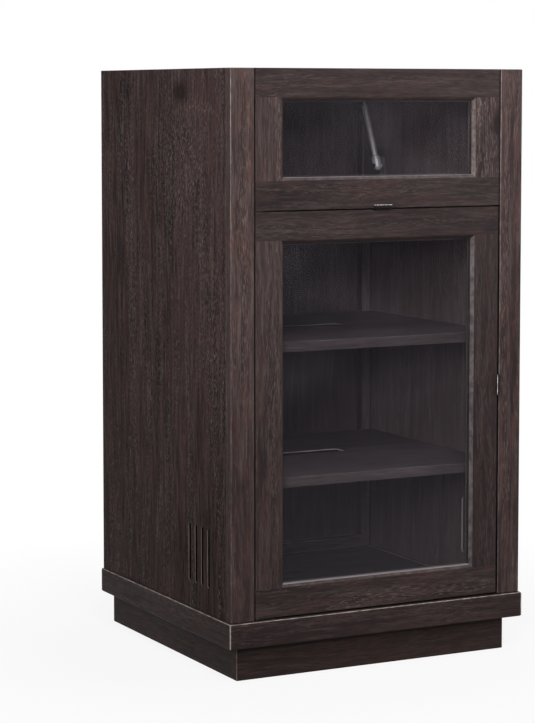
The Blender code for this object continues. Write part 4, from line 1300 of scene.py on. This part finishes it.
@dataclass
class FingerPull:
    """Bent metal pull, with a tail under the frame's edge and a lip turned up in front of it."""

    body: str
    sideways: bool
    metal: float = 0.0012
    bend: float = 0.0022
    steps: int = 10
    arris: float = 0.00025
    sharp: float = math.radians(40)

    def section(self, reach: float, lip: float, tail: float) -> list[tuple[float, float]]:
        """Draws the strip's outline in a plane of depth and rise.

        Args:
            reach: Depth in front of the leaf's face.
            lip: Rise of the lip over the tail's upper face.
            tail: Depth behind the leaf's face.

        Returns:
            Points of the closed outline, with depth growing towards the back.
        """
        outer, inner = self.bend + self.metal, self.bend
        middle = (-reach + outer, inner)
        bends = [*turns(self.steps, math.pi / 2), math.pi / 2]
        under = [(middle[0] - outer * math.sin(t), middle[1] - outer * math.cos(t)) for t in bends]
        over = [(middle[0] - inner * math.sin(t), middle[1] - inner * math.cos(t)) for t in reversed(bends)]
        tip = [(-reach, lip), (-reach + self.metal, lip)]
        return [(tail, -self.metal), *under, *tip, *over, (tail, 0.0)]

    def build(self, face: float) -> None:
        """Makes the pull in place of its solid.

        Args:
            face: Depth of the leaf's front face.
        """
        node = f"{self.body}_pull"
        # Painted highlight along the tip of each pull's lip.
        nickel = PULL_NICKEL.worn_and_highlit(node, Side.LEFT if self.sideways else Side.TOP)
        low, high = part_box(node)
        across = high.x - low.x if self.sideways else high.z - low.z
        outline = self.section(face - low.y, across - self.metal, high.y - face)
        if self.sideways:
            edge = high.x - self.metal
            rings = [[(edge - rise, face + depth, z) for depth, rise in outline] for z in (low.z, high.z)]
        else:
            edge = low.z + self.metal
            rings = [[(x, face + depth, edge + rise) for depth, rise in outline] for x in (low.x, high.x)]
        shape = skin(rings, smooth=False)
        bmesh.ops.recalc_face_normals(shape, faces=shape.faces)
        arrises = [line for line in shape.edges if line.calc_face_angle(0.0) > self.sharp]
        bmesh.ops.bevel(shape, geom=arrises, offset=self.arris, segments=2, profile=0.5, affect="EDGES")
        piece = mesh_object(f"{self.body}_finger_pull", shape, nickel)
        settle(piece, self.body, PULL_NICKEL.slot, node)


@dataclass
class LidLift:
    """Gas struts with their brackets and the long hinge at the back of the lid."""

    clip_ring: float = 0.0090
    clip_wire: float = 0.0006
    clip_rise: float = 0.0125
    clip_gap: float = math.radians(70)
    ring_steps: int = 40
    wire_steps: int = 8
    hinge_screws: int = 8
    bracket_screw: float = 0.0125
    board_screw: float = 0.016
    cap_start: float = 0.0068
    cap_rise: float = 0.0040
    cap_radius: float = 0.0044
    cap_crown: float = 0.0012
    cap_steps: int = 6
    wall_plate: float = 0.0023
    lid_plate: float = 0.0020
    lid_screw: float = 0.0055
    lid_screw_inset: float = 0.0080
    leaf_gap: float = 0.0002
    leaf_screw_rise: float = 0.0050

    def dress(self) -> None:
        """Dresses the solids of the lift."""
        for hand in HANDS:
            for moving in ("tube", "rod"):
                dress(f"{hand}_strut_{moving}", STRUT_STEEL.material())
            for fixed in ("wall", "lid"):
                dress(f"{hand}_strut_{fixed}_bracket", PLATE_STEEL.material())
        for node in ("lid_hinge_rail_leaf", "lid_hinge_lid_leaf", "lid_hinge_pin"):
            dress(node, HINGE_STEEL.material())

    def joint(self, name: str, value: str) -> Vector:
        """Reads the place or the axis of a joint."""
        return Vector(next(joint for joint in frame["joints"] if joint["name"] == name)[value])

    def cap(self, hand: str) -> None:
        """Makes the domed cap that closes a foot fitting on the side away from its stud.

        Args:
            hand: Side of the cabinet.
        """
        side = -HANDS[hand]
        foot = self.joint(f"{hand}_strut_pivot", "pos_m")
        profile = [(self.cap_radius, 0.0)]
        for turn in turns(self.cap_steps, math.pi / 2):
            radius = self.cap_radius - self.cap_crown * (1 - math.cos(turn))
            profile.append((radius, self.cap_rise - self.cap_crown * (1 - math.sin(turn))))
        rings = []
        for radius, rise in profile:
            reach = side * (self.cap_start + rise)
            points = [(reach, radius * math.cos(t), radius * math.sin(t)) for t in turns(self.ring_steps)]
            rings.append([foot + Vector(point) for point in points])
        piece = mesh_object(f"{hand}_strut_cap", skin(rings, smooth=True), CAP_PLASTIC.material())
        settle(piece, f"{hand}_tube", CAP_PLASTIC.slot)

    def clip(self, hand: str) -> None:
        """Makes the wire clip that holds a strut's foot on its stud.

        Args:
            hand: Side of the cabinet.
        """
        foot = self.joint(f"{hand}_strut_pivot", "pos_m")
        axis = self.joint(f"{hand}_strut_slide", "axis").normalized()
        lean = Vector((0, 0, 1)).rotation_difference(axis).to_matrix().to_4x4()
        place = Matrix.Translation(foot + axis * self.clip_rise) @ lean
        start = self.clip_gap / 2 + (0.0 if HANDS[hand] > 0 else math.pi)
        sweep = 2 * math.pi - self.clip_gap
        rings = []
        for turn in (*turns(self.ring_steps, sweep), sweep):
            ring = []
            for wire in turns(self.wire_steps):
                radius = self.clip_ring + self.clip_wire * math.cos(wire)
                x, y = radius * math.cos(start + turn), radius * math.sin(start + turn)
                ring.append(place @ Vector((x, y, self.clip_wire * math.sin(wire))))
            rings.append(ring)
        piece = mesh_object(f"{hand}_strut_clip", skin(rings, smooth=True), PLATE_STEEL.material())
        settle(piece, f"{hand}_tube", PLATE_STEEL.slot)

    def screw(self, screws: Fasteners) -> None:
        """Notes the screws of the brackets, the strut boards and the hinge's leaves.

        Args:
            screws: Screws of the cabinet.
        """
        for hand, sign in HANDS.items():
            foot = self.joint(f"{hand}_strut_pivot", "pos_m")
            board_low, board_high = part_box(f"{hand}_strut_board")
            board_face = board_low.x if sign > 0 else board_high.x
            plate_face = board_face - sign * self.wall_plate
            places = [(plate_face, foot.y, foot.z + way * self.bracket_screw) for way in (-1, 1)]
            screws.put("carcass", places, Facing.inward(sign), Head.SMALL)
            corners = [
                (board_face, y, z)
                for y in (board_low.y + self.board_screw, board_high.y - self.board_screw)
                for z in (board_low.z + self.board_screw, board_high.z - self.board_screw)
            ]
            screws.put("carcass", corners, Facing.inward(sign), Head.PAN)
            low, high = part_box(f"{hand}_strut_lid_bracket")
            x = (high.x if sign > 0 else low.x) - sign * self.lid_screw_inset
            middle = (low.y + high.y) / 2
            places = [(x, middle + way * self.lid_screw, high.z - self.lid_plate) for way in (-1, 1)]
            screws.put("lid", places, Facing.DOWN, Head.SMALL)
        for body, leaf, facing in (("carcass", "rail", Facing.FRONT), ("lid", "lid", Facing.BACK)):
            low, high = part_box(f"lid_hinge_{leaf}_leaf")
            axis = self.joint("lid_hinge", "pos_m")
            face = axis.y + (self.leaf_gap if body == "carcass" else -self.leaf_gap)
            pitch = (high.x - low.x) / self.hinge_screws
            level = low.z + self.leaf_screw_rise
            places = [(low.x + pitch * (step + 0.5), face, level) for step in range(self.hinge_screws)]
            screws.put(body, places, facing, Head.FLUSH)

    def build(self, screws: Fasteners) -> None:
        """Dresses and completes the lift.

        Args:
            screws: Screws of the cabinet.
        """
        self.dress()
        for hand in HANDS:
            self.clip(hand)
            self.cap(hand)
        self.screw(screws)


@dataclass
class DoorFittings:
    """Pivot hinges, the catch with its strike, and the rubber stops behind the two leaves."""

    plates: tuple[str, ...] = (
        "lower_pivot_plate", "upper_pivot_bracket", "lower_door_leaf", "upper_door_leaf", "door_strike",
    )
    leaf_screws: tuple[float, ...] = (0.024, 0.036)
    end: float = 0.008
    stop_inset: float = 0.045
    bracket_screw_rise: float = 0.0032
    bracket_plate: float = 0.0012

    def build(self, screws: Fasteners, stops: Fasteners) -> None:
        """Dresses the fittings and notes their screws and stops.

        Args:
            screws: Dark screws of the cabinet.
            stops: Rubber stops of the cabinet.
        """
        for node in self.plates:
            dress(node, PIVOT_STEEL.material())
        dress("door_catch", CATCH_PLASTIC.material())
        self.pivots(screws)
        self.catch(screws)
        self.stops(stops)

    def pivots(self, screws: Fasteners) -> None:
        """Notes the screws of the pivot hinges.

        Args:
            screws: Dark screws of the cabinet.
        """
        stile_low, stile_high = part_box("door_left_stile")
        low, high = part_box("lower_door_leaf")
        middle = (low.y + high.y) / 2
        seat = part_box("moulding_front")[1].z
        columns = [stile_low.x + inset for inset in self.leaf_screws]
        plates = (
            ("door", stile_low.z, Facing.DOWN),
            ("door", stile_high.z, Facing.UP),
            ("carcass", seat, Facing.UP),
        )
        for body, level, facing in plates:
            screws.put(body, [(x, middle, level) for x in columns], facing, Head.PLATE)
        low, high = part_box("upper_pivot_bracket")
        level = low.z + self.bracket_screw_rise
        places = [(x, high.y - self.bracket_plate, level) for x in columns]
        screws.put("carcass", places, Facing.FRONT, Head.FLUSH)

    def catch(self, screws: Fasteners) -> None:
        """Notes the screws of the catch and of its strike.

        Args:
            screws: Dark screws of the cabinet.
        """
        low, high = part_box("door_strike")
        level = (low.z + high.z) / 2
        places = [(x, high.y, level) for x in (low.x + self.end, high.x - self.end)]
        screws.put("door", places, Facing.BACK, Head.FLUSH)
        low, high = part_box("door_catch")
        depth = (low.y + high.y) / 2
        places = [(x, depth, low.z) for x in (low.x + self.end, high.x - self.end)]
        screws.put("carcass", places, Facing.DOWN, Head.SMALL)

    def stops(self, stops: Fasteners) -> None:
        """Notes the stops on the divider's front edge, two for each leaf.

        Args:
            stops: Rubber stops of the cabinet.
        """
        low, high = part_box("divider_panel")
        door_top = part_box("door_top_rail")[1].z
        lid_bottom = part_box("lid_bottom_rail")[0].z
        for level in ((low.z + door_top) / 2, (lid_bottom + high.z) / 2):
            places = [(x, low.y, level) for x in (low.x + self.stop_inset, high.x - self.stop_inset)]
            stops.put("carcass", places, Facing.FRONT, Head.STOP)


@dataclass
class Fixings:
    """Screws that hold the back and the pulls, and the shelf pins' metal."""

    back_inset: float = 0.0113
    back_rows: int = 8
    back_columns: int = 5
    pull_screws: tuple[float, ...] = (-0.011, 0.011)
    pull_depth: float = 0.010

    def build(self, screws: Fasteners) -> None:
        """Dresses the shelf pins and notes the screws of the back.

        Args:
            screws: Screws of the cabinet.
        """
        for node in frame["nodes"]:
            if node.endswith("_pin") and "shelf" in node:
                dress(node, PLATE_STEEL.material())
        low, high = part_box("back_panel")
        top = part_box("rear_top_rail")[0].z
        rise = (top - low.z - 2 * self.back_inset) / (self.back_rows - 1)
        levels = [low.z + self.back_inset + rise * row for row in range(self.back_rows)]
        sides = (low.x + self.back_inset, high.x - self.back_inset)
        places = [(x, high.y, z) for x in sides for z in levels]
        step = (sides[1] - sides[0]) / (self.back_columns + 1)
        columns = [sides[0] + step * (count + 1) for count in range(self.back_columns)]
        places += [(x, high.y, low.z + self.back_inset) for x in columns]
        screws.put("carcass", places, Facing.BACK, Head.PAN)

    def screw_pulls(self, screws: Fasteners, face: float) -> None:
        """Notes the screws in the pulls' tails.

        Args:
            screws: Screws of the cabinet.
            face: Depth of the leaves' front face.
        """
        low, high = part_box("lid_pull")
        middle = (low.x + high.x) / 2
        places = [(middle + s, face + self.pull_depth, low.z) for s in self.pull_screws]
        screws.put("lid", places, Facing.DOWN, Head.PLATE)
        low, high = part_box("door_pull")
        middle = (low.z + high.z) / 2
        places = [(high.x, face + self.pull_depth, middle + s) for s in self.pull_screws]
        screws.put("door", places, Facing.RIGHT, Head.PLATE)


@dataclass(frozen=True)
class Lamp:
    """A soft square lamp."""

    name: str
    place: Triple
    aim: Triple
    size: float
    power: float
    spread: float = math.pi

    def hang(self) -> None:
        """Hangs the lamp and turns it to its aim."""
        light = bpy.data.lights.new(self.name, "AREA")
        light.size = self.size
        light.energy = self.power
        light.spread = self.spread
        lamp = link(self.name, light)
        lamp.location = self.place
        way = Vector(self.aim) - Vector(self.place)
        lamp.rotation_euler = way.to_track_quat("-Z", "Y").to_euler()


@dataclass
class Studio:
    """White room with soft lamps, and the camera at the photograph's angle."""

    eye: Triple = (-2.0794, -3.8652, 1.0176)
    yaw: float = math.radians(27.32)
    pitch: float = math.radians(4.5)
    lens: float = 117.04
    shift: float = -0.1104
    floor_span: float = 9.0
    floor_glow: float = 0.88
    floor_tone: Span = (0.25, 0.90)
    shadow_reach: Span = (0.45, 1.1)
    ambient: float = 0.10
    lamps: tuple[Lamp, ...] = (
        Lamp("high_lamp", (-0.6, -2.0, 2.5), (0.0, -0.28, 1.05), 1.0, 6.8, math.radians(70)),
        Lamp("side_lamp", (-2.3, -1.9, 2.2), (-0.1, 0.0, 1.25), 1.4, 3.1, math.radians(42)),
        Lamp("window_lamp", (-1.9, -2.7, 1.36), (0.1, -0.2, 0.80), 0.8, 5.7, math.radians(50)),
        Lamp("strut_lamp", (-0.05, -2.9, 1.40), (0.22, 0.16, 0.92), 0.15, 0.155, math.radians(12)),
        Lamp("right_lamp", (2.3, -1.75, 0.9), (0.3, -0.1, 0.5), 1.0, 18.5),
        Lamp("top_lamp", (0.2, 0.3, 3.0), (0.0, 0.0, 1.0), 1.6, 20.0),
    )

    def seen(self, sheet: Drawing) -> Socket:
        """Gives 1 where a ray comes from the camera, a reflection or glass.

        Args:
            sheet: Tree that asks.

        Returns:
            The mask.
        """
        rays = sheet.add("ShaderNodeLightPath").outputs
        first = sheet.math("MAXIMUM", rays["Is Camera Ray"], rays["Is Glossy Ray"])
        return sheet.math("MAXIMUM", first, rays["Is Transmission Ray"])

    def lay_floor(self) -> None:
        """Lays the pale floor, which keeps a soft shadow of the cabinet."""
        shape = bmesh.new()
        bmesh.ops.create_grid(shape, x_segments=2, y_segments=2, size=self.floor_span / 2)
        floor = mesh_object("studio_floor", shape, bpy.data.materials.new("studio_floor"))
        material = floor.data.materials[0]
        material.use_nodes = True
        sheet = Drawing(material.node_tree)
        sheet.tree.nodes.clear()
        seen = self.seen(sheet)
        dim, pale = self.floor_tone
        tone = sheet.out("ShaderNodeMapRange", {0: seen, 3: dim, 4: pale})
        matt = sheet.out("ShaderNodeBsdfDiffuse", {"Color": tone})
        glow = sheet.out("ShaderNodeEmission", {"Color": (1.0, 1.0, 1.0), "Strength": 1.0})
        coords = sheet.add("ShaderNodeTexCoord").outputs["Object"]
        away = sheet.add("ShaderNodeVectorMath", {0: coords}, operation="LENGTH").outputs["Value"]
        near, far = self.shadow_reach
        fade = {0: away, 1: near, 2: far, 3: self.floor_glow, 4: 1.0}
        level = sheet.out("ShaderNodeMapRange", fade)
        share = sheet.math("MULTIPLY", seen, level)
        both = sheet.out("ShaderNodeMixShader", {0: share, 1: matt, 2: glow})
        sheet.add("ShaderNodeOutputMaterial", {"Surface": both})

    def light(self) -> None:
        """Hangs the lamps and sets the world white to the eye and dim as a light."""
        for lamp in self.lamps:
            lamp.hang()
        world = bpy.data.worlds.new("studio_world")
        world.use_nodes = True
        bpy.context.scene.world = world
        sheet = Drawing(world.node_tree)
        gain = sheet.out("ShaderNodeMapRange", {0: self.seen(sheet), 3: self.ambient, 4: 1.0})
        backdrop = sheet.tree.nodes["Background"]
        sheet.feed(backdrop.inputs["Color"], (1.0, 1.0, 1.0))
        sheet.feed(backdrop.inputs["Strength"], gain)

    def set_camera(self) -> None:
        """Puts the camera at the photograph's place."""
        view = bpy.data.cameras.new("photo_camera")
        view.lens = self.lens
        view.shift_y = self.shift
        camera = link("photo_camera", view)
        camera.location = self.eye
        camera.rotation_euler = (math.pi / 2 - self.pitch, 0.0, -self.yaw)
        bpy.context.scene.camera = camera

    def build(self) -> None:
        """Sets the whole studio."""
        bpy.context.scene.view_settings.view_transform = "Standard"
        self.set_camera()
        self.lay_floor()
        self.light()


def main() -> None:
    """Builds the cabinet's looks in order: studio, timber, glass, then the metalwork."""
    logging.basicConfig(level=logging.INFO, format="%(message)s")
    Studio().build()
    Boards().build()
    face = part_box("lid_left_stile")[0].y
    screws = Fasteners(recessed=True)
    dark_screws = Fasteners(recessed=True)
    stops = Fasteners(recessed=False)
    bead = GlazingBead()
    glass = GREY_GLASS.material()
    for leaf in ("lid", "door"):
        dress(f"{leaf}_glass", glass)
        bead.build(leaf)
        FingerPull(leaf, sideways=leaf == "door").build(face)
    LidLift().build(screws)
    DoorFittings().build(dark_screws, stops)
    fixings = Fixings()
    fixings.build(screws)
    fixings.screw_pulls(dark_screws, face)
    screws.build("screws", PLATE_STEEL)
    dark_screws.build("dark_screws", PULL_NICKEL)
    stops.build("rubber_stops", STOP_RUBBER)


if __name__ == "__main__":
    main()
